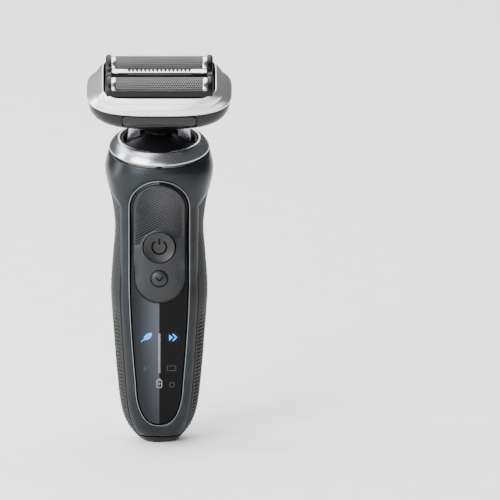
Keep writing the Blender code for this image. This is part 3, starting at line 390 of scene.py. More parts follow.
SAMPLES = 1000
SECTIONS = []
for i in range(SAMPLES + 2):
    share = min(i / SAMPLES, 1.0)
    SECTIONS.append((station_value(share, 1) * HANDLE_WIDTH / 2,
                     station_value(share, 2) * HANDLE_DEPTH / 2,
                     station_value(share, 3) * HANDLE_DEPTH / 2))


def section(share):
    """Half the width, the depth in front and the depth behind."""
    place = min(max(share, 0.0), 1.0) * SAMPLES
    low = int(place)
    part = place - low
    return [a + (b - a) * part for a, b in zip(SECTIONS[low], SECTIONS[low + 1])]


def body_power(share):
    return BODY_POWER + (2.0 - BODY_POWER) * blend_steps(share, 0.8, 1.0)


def lean(share):
    return blend_steps(share, 0.72, 1.0) * tan(COLLAR_TILT)


def bare_skin(share, turn):
    half_width, front, rear = section(share)
    power = body_power(share)
    depth = front if cos(turn) > 0 else rear
    x = half_width * signed_power(sin(turn), 2 / power)
    y = -depth * signed_power(cos(turn), 2 / power)
    return Vector((x, y, share * HANDLE_LENGTH + y * lean(share)))


def skin(share, turn, out=0.0):
    """A point at a height above the handle's surface. Turn is 0 at the front and a quarter at the right."""
    point = bare_skin(share, turn)
    if out == 0.0:
        return point
    step = 0.004
    across = bare_skin(share, turn + step) - bare_skin(share, turn - step)
    up = bare_skin(min(share + step, 1.0), turn) - bare_skin(max(share - step, 0.0), turn)
    return point + across.cross(up).normalized() * out


def bare_front(x, z):
    share = z / HANDLE_LENGTH
    y = 0.0
    for _ in range(4):
        half_width, front, rear = section(share)
        power = body_power(share)
        y = -front * (1 - min(abs(x) / half_width, 0.999) ** power) ** (1 / power)
        share = (z - y * lean(share)) / HANDLE_LENGTH
    return Vector((x, y, z)), share


def front_point(x, z, out):
    """The point of the front face at a place seen from straight ahead, at a height above the surface."""
    point, share = bare_front(x, z)
    step = 0.2
    across = bare_front(x + step, z)[0] - bare_front(x - step, z)[0]
    up = bare_front(x, z + step)[0] - bare_front(x, z - step)[0]
    return point + across.cross(up).normalized() * out


def on_front(bm):
    """Lays a flat piece on the front: its depth becomes a height above the surface."""
    return bend(bm, lambda co: front_point(co.x, co.z, -co.y))


def seam_turn(share):
    ratio = SEAM_SHARE + (1.0 - SEAM_SHARE) * blend_steps(share, *SEAM_RISE)
    return asin(min(ratio ** (BODY_POWER / 2), 1.0))


def seam_edge(share):
    half_width, front, rear = section(share)
    return SEAM_GAP / 2 / min(half_width, front)


# ---------------------------------------------------------------- outlines of the front

def window_outline(margin=0.0):
    """Round at the top, straight sides that narrow, and a rounded lower end."""
    half = WINDOW_HALF_WIDTH + margin
    low_half = WINDOW_LOW_HALF_WIDTH + margin
    centre = WINDOW_TOP - WINDOW_HALF_WIDTH
    bottom = WINDOW_BOTTOM - margin
    arc, sides, low_arc = 24, 16, 20
    right = [(half * sin(pi / 2 * i / arc), centre + half * cos(pi / 2 * i / arc)) for i in range(arc + 1)]
    for i in range(sides + 1):
        share = i / sides
        height = WINDOW_TAPER[0] + (WINDOW_TAPER[1] - WINDOW_TAPER[0]) * share
        right.append((half + (low_half - half) * share ** 1.6, height))
    for i in range(1, low_arc + 1):
        turn = pi / 2 * i / low_arc
        right.append((low_half * cos(turn) ** 0.8, WINDOW_TAPER[1] - (WINDOW_TAPER[1] - bottom) * sin(turn)))
    right[-1] = (0.0, bottom)
    return right + [(-x, height) for x, height in reversed(right[1:-1])]


def capsule(half_width, low, high, steps=24):
    points = []
    for i in range(steps + 1):
        turn = pi * i / steps
        points.append((-half_width * cos(turn), high - half_width + half_width * sin(turn)))
    for i in range(steps + 1):
        turn = pi * i / steps
        points.append((half_width * cos(turn), low + half_width - half_width * sin(turn)))
    return points


# ---------------------------------------------------------------- materials

def deepen(code, share):
    """The same hex colour with each of its parts scaled down."""
    return "#%02x%02x%02x" % tuple(int(int(code[i:i + 2], 16) * share) for i in (1, 3, 5))


def finish(name, base, roughness, metallic=0.0, **inputs):
    """A named finish, its node tree and its shader. Other shader inputs are given by name."""
    material = bpy.data.materials.new(name)
    material.use_nodes = True
    tree = material.node_tree
    shader = tree.nodes["Principled BSDF"]
    shader.inputs["Base Color"].default_value = colour(base)
    shader.inputs["Roughness"].default_value = roughness
    shader.inputs["Metallic"].default_value = metallic
    for key, value in inputs.items():
        shader.inputs[key.replace("_", " ")].default_value = value
    return material, tree, shader


def per_mm(size):
    """A texture's scale for features of a size in millimetres."""
    return 1.0 / (size * MM)


def place(tree, stretch=(1.0, 1.0, 1.0)):
    where = add(tree, "ShaderNodeTexCoord")
    return add(tree, "ShaderNodeMapping", {"Vector": where.outputs["Object"], "Scale": stretch}).outputs[0]


PATCH_SIZE = 14.0
GRAIN_DEPTH = 0.05


def grain(tree, shader, size, strength, base, darker, roughness, spread, stretch=(1.0, 1.0, 1.0)):
    """Fine grain: a little colour, a little gloss and a little relief, all from one noise."""
    where = place(tree, stretch)
    fine = add(tree, "ShaderNodeTexNoise", {"Vector": where, "Scale": per_mm(size), "Detail": 3.0})
    broad = add(tree, "ShaderNodeTexNoise", {"Vector": where, "Scale": per_mm(PATCH_SIZE), "Detail": 2.0})
    mixed = add(tree, "ShaderNodeMath", {0: fine.outputs["Fac"], 1: broad.outputs["Fac"]},
                operation="MULTIPLY")
    ramp = add(tree, "ShaderNodeValToRGB", {"Fac": mixed.outputs[0]})
    ramp.color_ramp.elements[0].position = 0.12
    ramp.color_ramp.elements[0].color = colour(darker)
    ramp.color_ramp.elements[1].position = 0.40
    ramp.color_ramp.elements[1].color = colour(base)
    tree.links.new(ramp.outputs["Color"], shader.inputs["Base Color"])
    gloss = add(tree, "ShaderNodeMapRange", {"Value": fine.outputs["Fac"], "From Min": 0.3, "From Max": 0.7,
                                             "To Min": roughness - spread, "To Max": roughness + spread})
    tree.links.new(gloss.outputs[0], shader.inputs["Roughness"])
    bump = add(tree, "ShaderNodeBump", {"Height": fine.outputs["Fac"], "Strength": strength,
                                        "Distance": GRAIN_DEPTH * MM})
    tree.links.new(bump.outputs[0], shader.inputs["Normal"])
    return bump


def graphite_paint():
    """Satin metallic paint on moulded ABS: dark grey, with a soft sheen that follows the curves."""
    material, tree, shader = finish("graphite_painted_abs", "#26282a", 0.33, 0.85, Specular_IOR_Level=0.3)
    grain(tree, shader, 0.22, 0.12, "#2f3234", "#232527", 0.33, 0.05)
    return material


def grip_rubber():
    """Moulded soft rubber: matt and dark, with a fine dotted skin that breaks up the light."""
    material, tree, shader = finish("moulded_grip_rubber", "#101112", 0.55, 0.0, Specular_IOR_Level=0.25)
    bump = grain(tree, shader, 0.35, 0.35, "#151617", "#080909", 0.55, 0.08)
    pips = add(tree, "ShaderNodeTexVoronoi", {"Vector": place(tree), "Scale": per_mm(0.8),
                                              "Randomness": 0.15})
    relief = add(tree, "ShaderNodeBump", {"Height": pips.outputs["Distance"], "Strength": 0.6,
                                          "Distance": 0.12 * MM, "Normal": bump.outputs[0]}, invert=True)
    tree.links.new(relief.outputs[0], shader.inputs["Normal"])
    return material


LENS_FACE = -15.0
GLOW = 0.05


def smoked_lens(lights):
    """Smoked acrylic: deep black gloss, its left half carrying a painted softbox reflection as a grey fade
    that lightens toward the middle and upward, with lamps glowing through.
    """
    material, tree, shader = finish("smoked_acrylic_painted_reflection", "#0a0b0d", 0.08, 0.0, Specular_IOR_Level=0.1)
    where = add(tree, "ShaderNodeTexCoord").outputs["Object"]
    # Painted reflection: a grey fade over the left half stands in for a softbox seen in the gloss, lighter
    # toward the middle and higher up.
    axes = add(tree, "ShaderNodeSeparateXYZ", {"Vector": where})
    half = add(tree, "ShaderNodeMapRange", {"Value": axes.outputs["X"], "From Min": -12.6 * MM,
                                            "From Max": 0.0, "To Min": 0.0, "To Max": 1.0})
    left = add(tree, "ShaderNodeMath", {0: axes.outputs["X"], 1: 0.0}, operation="LESS_THAN")
    reflection_fade = add(tree, "ShaderNodeMath", {0: half.outputs[0], 1: left.outputs[0]}, operation="MULTIPLY")
    reflection_height = add(tree, "ShaderNodeMapRange", {"Value": axes.outputs["Z"], "From Min": 6.0 * MM,
                                            "From Max": 52.0 * MM, "To Min": 0.45, "To Max": 1.0})
    painted_reflection = add(tree, "ShaderNodeMath", {0: reflection_fade.outputs[0], 1: reflection_height.outputs[0]}, operation="MULTIPLY")
    # Colours of the painted reflection, from black to the reflected grey.
    ramp = add(tree, "ShaderNodeValToRGB", {"Fac": painted_reflection.outputs[0]})
    ramp.color_ramp.elements[0].color = colour("#030304")
    ramp.color_ramp.elements[1].color = colour("#44464d")
    middle = ramp.color_ramp.elements.new(0.35)
    middle.color = colour("#1c1f22")
    dust = add(tree, "ShaderNodeTexNoise", {"Vector": where, "Scale": per_mm(0.5), "Detail": 2.0})
    gloss = add(tree, "ShaderNodeMapRange", {"Value": dust.outputs["Fac"], "To Min": 0.07, "To Max": 0.13})
    tree.links.new(gloss.outputs[0], shader.inputs["Roughness"])
    tree.links.new(ramp.outputs["Color"], shader.inputs["Base Color"])
    glows = []
    for x, z, reach in lights:
        centre = add(tree, "ShaderNodeVectorMath", {0: where, 1: (x * MM, LENS_FACE * MM, z * MM)},
                     operation="SUBTRACT")
        flat = add(tree, "ShaderNodeVectorMath", {0: centre.outputs[0], 1: (1.0, 0.0, 1.0)},
                   operation="MULTIPLY")
        far = add(tree, "ShaderNodeVectorMath", {0: flat.outputs[0]}, operation="LENGTH")
        glow = add(tree, "ShaderNodeMapRange", {"Value": far.outputs["Value"], "From Min": 0.0,
                                                "From Max": reach * MM, "To Min": 1.0, "To Max": 0.0},
                   interpolation_type="SMOOTHERSTEP")
        glows.append(glow.outputs[0])
    both = add(tree, "ShaderNodeMath", {0: glows[0], 1: glows[1]}, operation="ADD")
    strength = add(tree, "ShaderNodeMath", {0: both.outputs[0], 1: GLOW}, operation="MULTIPLY")
    shader.inputs["Emission Color"].default_value = colour("#2f7fd6")
    tree.links.new(strength.outputs[0], shader.inputs["Emission Strength"])
    return material


def soft_touch():
    """Soft-touch paint on the pad and the buttons: very dark grey, nearly matt, evenly fine-grained."""
    material, tree, shader = finish("soft_touch_paint", "#1c1d1f", 0.46, 0.0, Specular_IOR_Level=0.3)
    grain(tree, shader, 0.15, 0.15, "#1e1f21", "#151618", 0.46, 0.06)
    return material


def chrome(name, base, roughness, size=0.12):
    """Vapour-deposited chrome on plastic: bright, with a faint satin bloom."""
    material, tree, shader = finish(name, base, roughness, 1.0)
    grain(tree, shader, size, 0.06, base, deepen(base, 0.93), roughness, 0.03)
    return material


def brushed(name, base, roughness, along):
    """Brushed steel: long fine scratches in one direction stretch every highlight."""
    material, tree, shader = finish(name, base, roughness, 1.0)
    stretch = tuple(0.03 if axis == along else 1.0 for axis in "XYZ")
    grain(tree, shader, 0.12, 0.2, base, deepen(base, 0.86), roughness, 0.07, stretch)
    return material


LAMELLA_PITCH = 0.9


def lamella_steel():
    """Cutter block under the foil: thin ground blades, with painted shade for the dark gaps between them.

    The bands of a wave texture repeat every 2 pi / 20 of its scale. Real blades stand closer together than
    these, but would not show.
    """
    material, tree, shader = finish("ground_lamella_steel", "#0c0c0d", 0.45, 1.0)
    bands = add(tree, "ShaderNodeTexWave", {"Vector": place(tree), "Scale": per_mm(LAMELLA_PITCH) * pi / 10,
                                            "Distortion": 0.3}, bands_direction="X")
    ramp = add(tree, "ShaderNodeValToRGB", {"Fac": bands.outputs["Fac"]})
    # The near-black bands are painted shade where the gaps between the blades would be.
    ramp.color_ramp.elements[0].position = 0.72
    ramp.color_ramp.elements[0].color = colour("#060606")
    ramp.color_ramp.elements[1].position = 0.9
    ramp.color_ramp.elements[1].color = colour("#4a4b4d")
    tree.links.new(ramp.outputs["Color"], shader.inputs["Base Color"])
    return material


def moulded(name, base, roughness, size=0.3, shine=0.5):
    """Injection-moulded plastic: one colour with the fine spark texture of its mould."""
    material, tree, shader = finish(name, base, roughness, 0.0, Specular_IOR_Level=shine)
    grain(tree, shader, size, 0.18, base, deepen(base, 0.85), roughness, 0.05)
    return material


def glossy_black():
    """High-gloss black plastic: a mirror-like skin with a hint of polishing haze."""
    material, tree, shader = finish("polished_black_plastic", "#060607", 0.16, 0.0, Specular_IOR_Level=0.35)
    grain(tree, shader, 0.4, 0.03, "#08090a", "#050506", 0.16, 0.03)
    return material


def lamp(name, base, paler, strength):
    """A lit symbol behind the lens: blue light with paler clouds in it."""
    material, tree, shader = finish(name, base, 0.4)
    cloud = add(tree, "ShaderNodeTexNoise", {"Vector": place(tree), "Scale": per_mm(2.0), "Detail": 1.0})
    ramp = add(tree, "ShaderNodeValToRGB", {"Fac": cloud.outputs["Fac"]})
    ramp.color_ramp.elements[0].color = colour(base)
    ramp.color_ramp.elements[1].color = colour(paler)
    tree.links.new(ramp.outputs["Color"], shader.inputs["Emission Color"])
    shader.inputs["Emission Strength"].default_value = strength
    return material


def printed(name, base):
    """Screen-printed ink under the lens: thin, flat and slightly uneven."""
    material, tree, shader = finish(name, base, 0.6, 0.0, Specular_IOR_Level=0.05)
    grain(tree, shader, 0.2, 0.05, base, deepen(base, 0.7), 0.6, 0.05)
    return material


GRAPHITE = graphite_paint()
RUBBER = grip_rubber()
SOFT = soft_touch()
# Across, height and reach of the glow round each lit symbol
LENS = smoked_lens(((-5.3, 47.9, 5.2), (5.6, 47.9, 4.6)))
TRIM = chrome("bright_trim_chrome", "#7d7f83", 0.3)
COLLAR_CHROME = chrome("satin_collar_chrome", "#c2c5ca", 0.24)
HEAD_SILVER = chrome("satin_silver_plating", "#ecedee", 0.36)
LEG_METAL = brushed("brushed_leg_metal", "#b9bbbf", 0.26, "Z")
FOIL_STEEL = chrome("etched_foil_nickel", "#8b8b88", 0.3, 0.3)
BLADE_STEEL = brushed("ground_blade_steel", "#8d8f92", 0.35, "X")
CUTTER_STEEL = lamella_steel()
PLATE_STEEL = chrome("bright_foil_clip_steel", "#d8d9da", 0.2)
BLACK = moulded("moulded_black_plastic", "#0c0d0e", 0.42, 0.3, 0.25)
DEEP_BLACK = moulded("moulded_head_black", "#050506", 0.3, 0.3, 0.25)
GLOSS = glossy_black()
DOME_SKIN = moulded("moulded_neck_elastomer", "#08080a", 0.45, 0.25, 0.25)
SEAL_RUBBER = moulded("seal_rubber", "#35373a", 0.55, 0.4)
PALE = moulded("moulded_acetal", "#c8c7c0", 0.45)
MILKY = moulded("milky_light_guide", "#cdd6de", 0.35)
BOARD = moulded("solder_mask_board", "#1f5b3a", 0.45, 0.8)
CELL = moulded("shrink_wrapped_cell", "#2b4f96", 0.38, 1.5)
GOLD = chrome("gold_plated_pin", "#d8b56a", 0.25)
ICON_BLUE = lamp("blue_lit_symbol", "#2a86e0", "#6fb8f5", 0.7)
LIGHT_BAR = printed("pale_light_bar_ink", "#7f8090")
FAINT_INK = printed("faint_symbol_ink", "#3a3c42")
BLACK_INK = printed("black_symbol_ink", "#020202")


# ---------------------------------------------------------------- handle

WINDOW_EASE = 0.15
CREASE_HEIGHT = 0.28
CREASE_ROWS = 9
CROWN_SHARE = 0.55
FOOT_SHARE = 0.6


def front_shell():
    """The painted shell between the window and the seams: a ring with a soft crease half way out."""
    window = window_outline(WINDOW_EASE)
    rings = [[], []]
    for x, z in window:
        share = bare_front(x, z)[1]
        half_width = section(share)[0]
        turn = asin(min(abs(x) / half_width, 1.0) ** (body_power(share) / 2)) * (1 if x >= 0 else -1)
        rings[0].append((turn, share))
    centre = WINDOW_TOP - WINDOW_HALF_WIDTH
    for x, z in window:
        side = 1 if x >= 0 else -1
        if z > centre:
            angle = asin(min(abs(x) / (WINDOW_HALF_WIDTH + WINDOW_EASE), 1.0)) / (pi / 2)
            if angle < CROWN_SHARE:
                share, part = 1.0, angle / CROWN_SHARE
            else:
                low = centre / HANDLE_LENGTH
                share, part = 1.0 + (low - 1.0) * (angle - CROWN_SHARE) / (1 - CROWN_SHARE), 1.0
        elif z >= WINDOW_TAPER[1]:
            share, part = z / HANDLE_LENGTH, 1.0
        else:
            reflection_height = WINDOW_TAPER[1] - WINDOW_BOTTOM + WINDOW_EASE
            down = asin(min((WINDOW_TAPER[1] - z) / reflection_height, 1.0)) / (pi / 2)
            start = WINDOW_TAPER[1] / HANDLE_LENGTH
            if down < FOOT_SHARE:
                share, part = start + (SHELL_START - start) * down / FOOT_SHARE, 1.0
            else:
                share, part = SHELL_START, 1 - (down - FOOT_SHARE) / (1 - FOOT_SHARE)
        rings[1].append((side * part * (seam_turn(share) - seam_edge(share)), share))
    outlines = []
    for row in range(CREASE_ROWS + 1):
        part = row / CREASE_ROWS
        out = CREASE_HEIGHT * (1 - abs(part - 0.5) / 0.5) if 0 < part < 1 else 0.0
        outline = []
        for inner, outer in zip(*rings):
            turn = inner[0] + (outer[0] - inner[0]) * part
            share = inner[1] + (outer[1] - inner[1]) * part
            outline.append(skin(share, turn, out))
        outlines.append(outline)
    bm = loft(outlines, cap_ends=False)
    point_out(bm)
    piece("front_shell_skin", bm, GRAPHITE, "handle", ["front_shell"], 40.0, SHELL_WALL)


def point_out(bm, centre=(0.0, 0.0, 60.0)):
    """Turns an open sheet so that its faces look away from a point."""
    bm.normal_update()
    total = sum((face.calc_center_median() - Vector(centre)).dot(face.normal) * face.calc_area()
                for face in bm.faces)
    if total < 0:
        bmesh.ops.reverse_faces(bm, faces=bm.faces)


def rear_band(name, material, node, columns, heights, wall, relief):
    """A sheet round the back from seam to seam, with a height above the skin at every point."""
    bm = bmesh.new()
    bmesh.ops.create_grid(bm, x_segments=columns, y_segments=len(heights) - 1, size=0.5)

    def shape(co):
        share = heights[min(int(round((co.y + 0.5) * (len(heights) - 1))), len(heights) - 1)]
        first = seam_turn(share) + seam_edge(share)
        turn = first + (2 * pi - 2 * first) * (co.x + 0.5)
        return skin(share, turn, relief(share, turn, co.x))

    bend(bm, shape)
    point_out(bm)
    piece(name, bm, material, "handle", [node], 50.0, wall)


GRIP_SHELL_STEP = 0.006
RIDGE_PITCH = 1.6
RIDGE_TOP = 58.0
RIDGE_DEPTH = 0.5
PIP_PITCH = 1.5
PIP_DEPTH = 0.3


def grip_relief(share, turn, across):
    """Level ridges low down, a field of small pips above, both fading out at the grip's edges."""
    height = share * HANDLE_LENGTH
    edge = min(blend_steps(across, -0.5, -0.47), blend_steps(-across, -0.5, -0.47))
    ends = min(blend_steps(share, GRIP_START, GRIP_START + 0.012),
               blend_steps(-share, -GRIP_END, -GRIP_END + 0.012))
    ridge = 0.5 - 0.5 * cos(2 * pi * height / RIDGE_PITCH)
    row = height / PIP_PITCH
    round_way = (turn - pi) * 20.0 / PIP_PITCH
    pip = sin(pi * row) * sin(pi * round_way)
    low = 1 - blend_steps(height, RIDGE_TOP - 8.0, RIDGE_TOP + 6.0)
    depth = RIDGE_DEPTH * (1 - ridge) * low + PIP_DEPTH * (0.5 + 0.5 * pip) * (1 - low)
    return -depth * edge * ends


def rear_pieces():
    """The rear casing, sunk where the grip covers it, and the rubber grip over it."""
    ledge = GRIP_END + GRIP_SHELL_STEP
    rise = ledge + 0.0002
    rows = [SHELL_START + (ledge - SHELL_START) * i / 40 for i in range(41)]
    rows += [rise + (1.0 - rise) * i / 24 for i in range(25)]

    def under(share, turn, across):
        return -UNDER_GRIP if GRIP_START - SMALL <= share < ledge + 0.0001 else 0.0

    rear_band("rear_shell_skin", GRAPHITE, "rear_shell", 96, rows, REAR_WALL, under)
    rows = []
    height = GRIP_START * HANDLE_LENGTH
    top = GRIP_END * HANDLE_LENGTH
    while height < top:
        rows.append(height / HANDLE_LENGTH)
        height += RIDGE_PITCH / 5 if height < RIDGE_TOP + 4 else PIP_PITCH / 4
    rows.append(GRIP_END)
    rear_band("rear_grip_skin", RUBBER, "rear_grip", 140, rows, GRIP_WALL, grip_relief)


def window_trim():
    outer, inner = window_outline(-0.05), window_outline(-0.05 - TRIM_WIDTH)
    levels = (-1.2, 0.0, 0.12)
    rings = [[front_point(x, z, out) for x, z in outer] for out in levels]
    rings += [[front_point(x, z, out) for x, z in inner] for out in reversed(levels)]
    bm = loft(rings, close_rings=True)
    soften(bm, 0.08, 2, 50.0)
    piece("window_trim_ring", bm, TRIM, "handle", ["window_trim"])


def lens():
    outline = window_outline(-0.6 - TRIM_WIDTH)
    bm = slab(outline, 0.15, 1.5)
    hole = slab(capsule(PAD_HALF_WIDTH + 0.2, PAD_BOTTOM - 0.2, PAD_TOP + 0.2, 32), -5.0, 5.0)
    bm = combine(bm, [hole])
    soften(bm, 0.12, 2, 60.0, lambda e: max(v.co.y for v in e.verts) < 0.2)
    slice_up(bm, "X", steps_between(-12.0, 12.0, 1.0))
    slice_up(bm, "Z", steps_between(6.0, 118.0, 2.0))
    on_front(bm)
    piece("smoked_lens", bm, LENS, "handle", ["display_window"], 40.0)


RIB_PITCH = 0.95
RIB_ANGLE = radians(31.0)
RIB_DEPTH = 0.5


def button_pad():
    """The raised pad: ribbed at a slant above the power button, smooth below, stepped round its lower end."""
    bm = slab(capsule(PAD_HALF_WIDTH, PAD_BOTTOM, PAD_TOP, 40), -PAD_PROUD, 1.7)
    holes = [slab(circle(POWER_RADIUS + BUTTON_GAP, POWER_HEIGHT), -5.0, 5.0),
             slab(circle(MODE_RADIUS + BUTTON_GAP, MODE_HEIGHT, 48), -5.0, 5.0)]
    bm = combine(bm, holes)

    def on_rim(edge):
        return all(v.co.y < -PAD_PROUD + 0.01 and rim_distance(v.co.x, v.co.z) < 0.05 for v in edge.verts)

    soften(bm, 0.45, 3, 40.0, on_rim)
    slope = Vector((-sin(RIB_ANGLE), 0, cos(RIB_ANGLE)))
    low = slope.dot(Vector((PAD_HALF_WIDTH, 0, POWER_HEIGHT - 3.0)))
    high = slope.dot(Vector((-PAD_HALF_WIDTH, 0, PAD_TOP)))
    count = int((high - low) / (RIB_PITCH / 4))
    for i in range(count):
        at = slope * (low + i * RIB_PITCH / 4)
        bmesh.ops.bisect_plane(bm, geom=all_of(bm), dist=SMALL, plane_co=at, plane_no=slope)
    slice_up(bm, "X", steps_between(-PAD_HALF_WIDTH, PAD_HALF_WIDTH, 0.8))
    slice_up(bm, "Z", steps_between(PAD_BOTTOM, POWER_HEIGHT - 2.0, 0.8))

    def relief(co):
        out = -co.y
        if out > PAD_PROUD - 0.02:
            rim = rim_distance(co.x, co.z)
            start = POWER_HEIGHT - 0.4 + 0.2 * (co.x + PAD_HALF_WIDTH)
            ribbed = blend_steps(rim, 0.55, 0.8) * blend_steps(co.z, start, start + 1.0)
            ribbed *= blend_steps(hypot(co.x, co.z - POWER_HEIGHT), POWER_RADIUS + 0.9, POWER_RADIUS + 1.2)
            out -= ribbed * RIB_DEPTH * (0.5 - 0.5 * cos(2 * pi * (slope.dot(co) - low) / RIB_PITCH))
            near = hypot(co.x, co.z - POWER_HEIGHT) - POWER_RADIUS - BUTTON_GAP
            out += 0.45 * (1 - blend_steps(near, 0.1, 1.1))
            step = rim_distance(co.x, co.z)
            below = 1 - blend_steps(co.z, MODE_HEIGHT + 1.0, MODE_HEIGHT + 9.0)
            out -= 0.6 * below * (1 - blend_steps(step, 2.7, 3.2))
        return front_point(co.x, co.z, out)

    bend(bm, relief)
    piece("ribbed_button_pad", bm, SOFT, "handle", ["button_pad"], 50.0)


def rim_distance(x, z):
    """How far inside the pad's edge a point lies."""
    low, high = PAD_BOTTOM + PAD_HALF_WIDTH, PAD_TOP - PAD_HALF_WIDTH
    return PAD_HALF_WIDTH - hypot(x, z - min(max(z, low), high))


def front_axis(button, height):
    """The button's own frame: up stays up, and Z comes forward from the face of the button."""
    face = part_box(button)[0].y / MM
    return Matrix.Translation((0, face, height)) @ Matrix.Rotation(pi / 2, 4, "X")


DISH_DEPTH = 1.35
DOME_FALL = 0.75


def power_dish(radius):
    """Depth of the power button's hollow at a radius."""
    part = radius / POWER_RADIUS
    return -DISH_DEPTH + DISH_DEPTH * part ** 2.2


def mode_dome(radius):
    """Fall of the mode button's domed face at a radius."""
    return -DOME_FALL * (radius / (MODE_RADIUS * 0.92)) ** 2.4


def buttons():
    """The dished power button and the domed mode button, each with a stem behind."""
    rim = POWER_RADIUS
    profile = [(0.0, power_dish(0.0))]
    profile += [(rim * 0.9 * i / 12, power_dish(rim * 0.9 * i / 12)) for i in range(1, 13)]
    profile += [(rim * 0.94, -0.10), (rim * 0.965, -0.03), (rim * 0.985, -0.08), (rim, -0.3), (rim, -2.2),
                (rim * 0.4, -2.2), (rim * 0.4, -3.3), (0.0, -3.3)]
    bm = moved(turned(profile, 96), front_axis("power_button", POWER_HEIGHT))
    piece("dished_power_button", bm, SOFT, "power_button", ["power_button"], 40.0)
    rim = MODE_RADIUS
    profile = [(rim * 0.92 * i / 8, mode_dome(rim * 0.92 * i / 8)) for i in range(9)]
    profile += [(rim, -1.1), (rim, -2.4), (rim * 0.4, -2.4), (rim * 0.4, -3.4), (0.0, -3.4)]
    bm = moved(turned(profile, 72), front_axis("mode_button", MODE_HEIGHT))
    piece("domed_mode_button", bm, SOFT, "mode_button", ["mode_button"], 40.0)


def power_symbol():
    """A broken ring and a bar, pressed on to the hollow of the button."""
    inner, outer = 2.6, 3.3
    opening = radians(38.0)
    bm = bmesh.new()
    start = Vector((sin(opening), cos(opening), 0))
    corners = [bm.verts.new(start * radius + Vector((0, 0, level)))
               for radius, level in ((inner, -0.05), (outer, -0.05), (outer, 0.06), (inner, 0.06))]
    face = bm.faces.new(corners)
    bmesh.ops.spin(bm, geom=[face], cent=(0, 0, 0), axis=(0, 0, 1), angle=-(2 * pi - 2 * opening), steps=60)
    bar = slab([(x, y + 2.35) for x, y in rounded_box(0.36, 1.35, 0.34, 5)], -0.05, 0.06, "Z")
    slice_up(bar, "Y", steps_between(1.0, 3.7, 0.3))
    bm = join(bm, bar)
    bmesh.ops.remove_doubles(bm, verts=bm.verts, dist=SMALL)
    bmesh.ops.recalc_face_normals(bm, faces=bm.faces)
    bend(bm, lambda co: Vector((co.x, co.y, co.z + power_dish(hypot(co.x, co.y)))))
    moved(bm, front_axis("power_button", POWER_HEIGHT))
    piece("power_symbol", bm, BLACK_INK, "power_button", (), 30.0)


def stroke(points, width, near, far):
    """A bent line of even width, drawn flat."""
    outline, back = [], []
    for i, point in enumerate(points):
        here = Vector(point)
        before = Vector(points[max(i - 1, 0)])
        after = Vector(points[min(i + 1, len(points) - 1)])
        along = (after - before).normalized()
        side = Vector((-along.y, along.x)) * width / 2
        if 0 < i < len(points) - 1:
            first = (here - before).normalized()
            side = side / max(abs(along.dot(first)), 0.5)
        outline.append(tuple(here + side))
        back.append(tuple(here - side))
    return slab(outline + back[::-1], near, far, "Z")


def mode_symbol():
    bm = stroke([(-1.5, 0.75), (0.0, -0.65), (1.5, 0.75)], 0.6, -0.05, 0.07)
    slice_up(bm, "X", steps_between(-1.8, 1.8, 0.3))
    bend(bm, lambda co: Vector((co.x, co.y, co.z + mode_dome(hypot(co.x, co.y)))))
    moved(bm, front_axis("mode_button", MODE_HEIGHT))
    piece("mode_symbol", bm, BLACK_INK, "mode_button", (), 30.0)


ICON_LOW = 0.17
ICON_TOP = 0.10


def icon(name, shapes, material):
    """Flat symbols laid just on the lens."""
    bm = join(*shapes)
    slice_up(bm, "X", steps_between(-9.0, 9.0, 0.6))
    on_front(bm)
    piece(name, bm, material, "handle", (), 30.0)


def placed(points, x, z, turn=0.0):
    return [(x + a * cos(turn) - b * sin(turn), z + a * sin(turn) + b * cos(turn)) for a, b in points]


def icon_slab(points, x, z, turn=0.0, hole=None):
    """A flat symbol at its place on the lens, with a hole through it if one is given."""
    shape = slab(placed(points, x, z, turn), ICON_LOW, ICON_TOP)
    if hole:
        shape = combine(shape, [slab(placed(hole, x, z, turn), -3.0, 3.0)])
    return shape


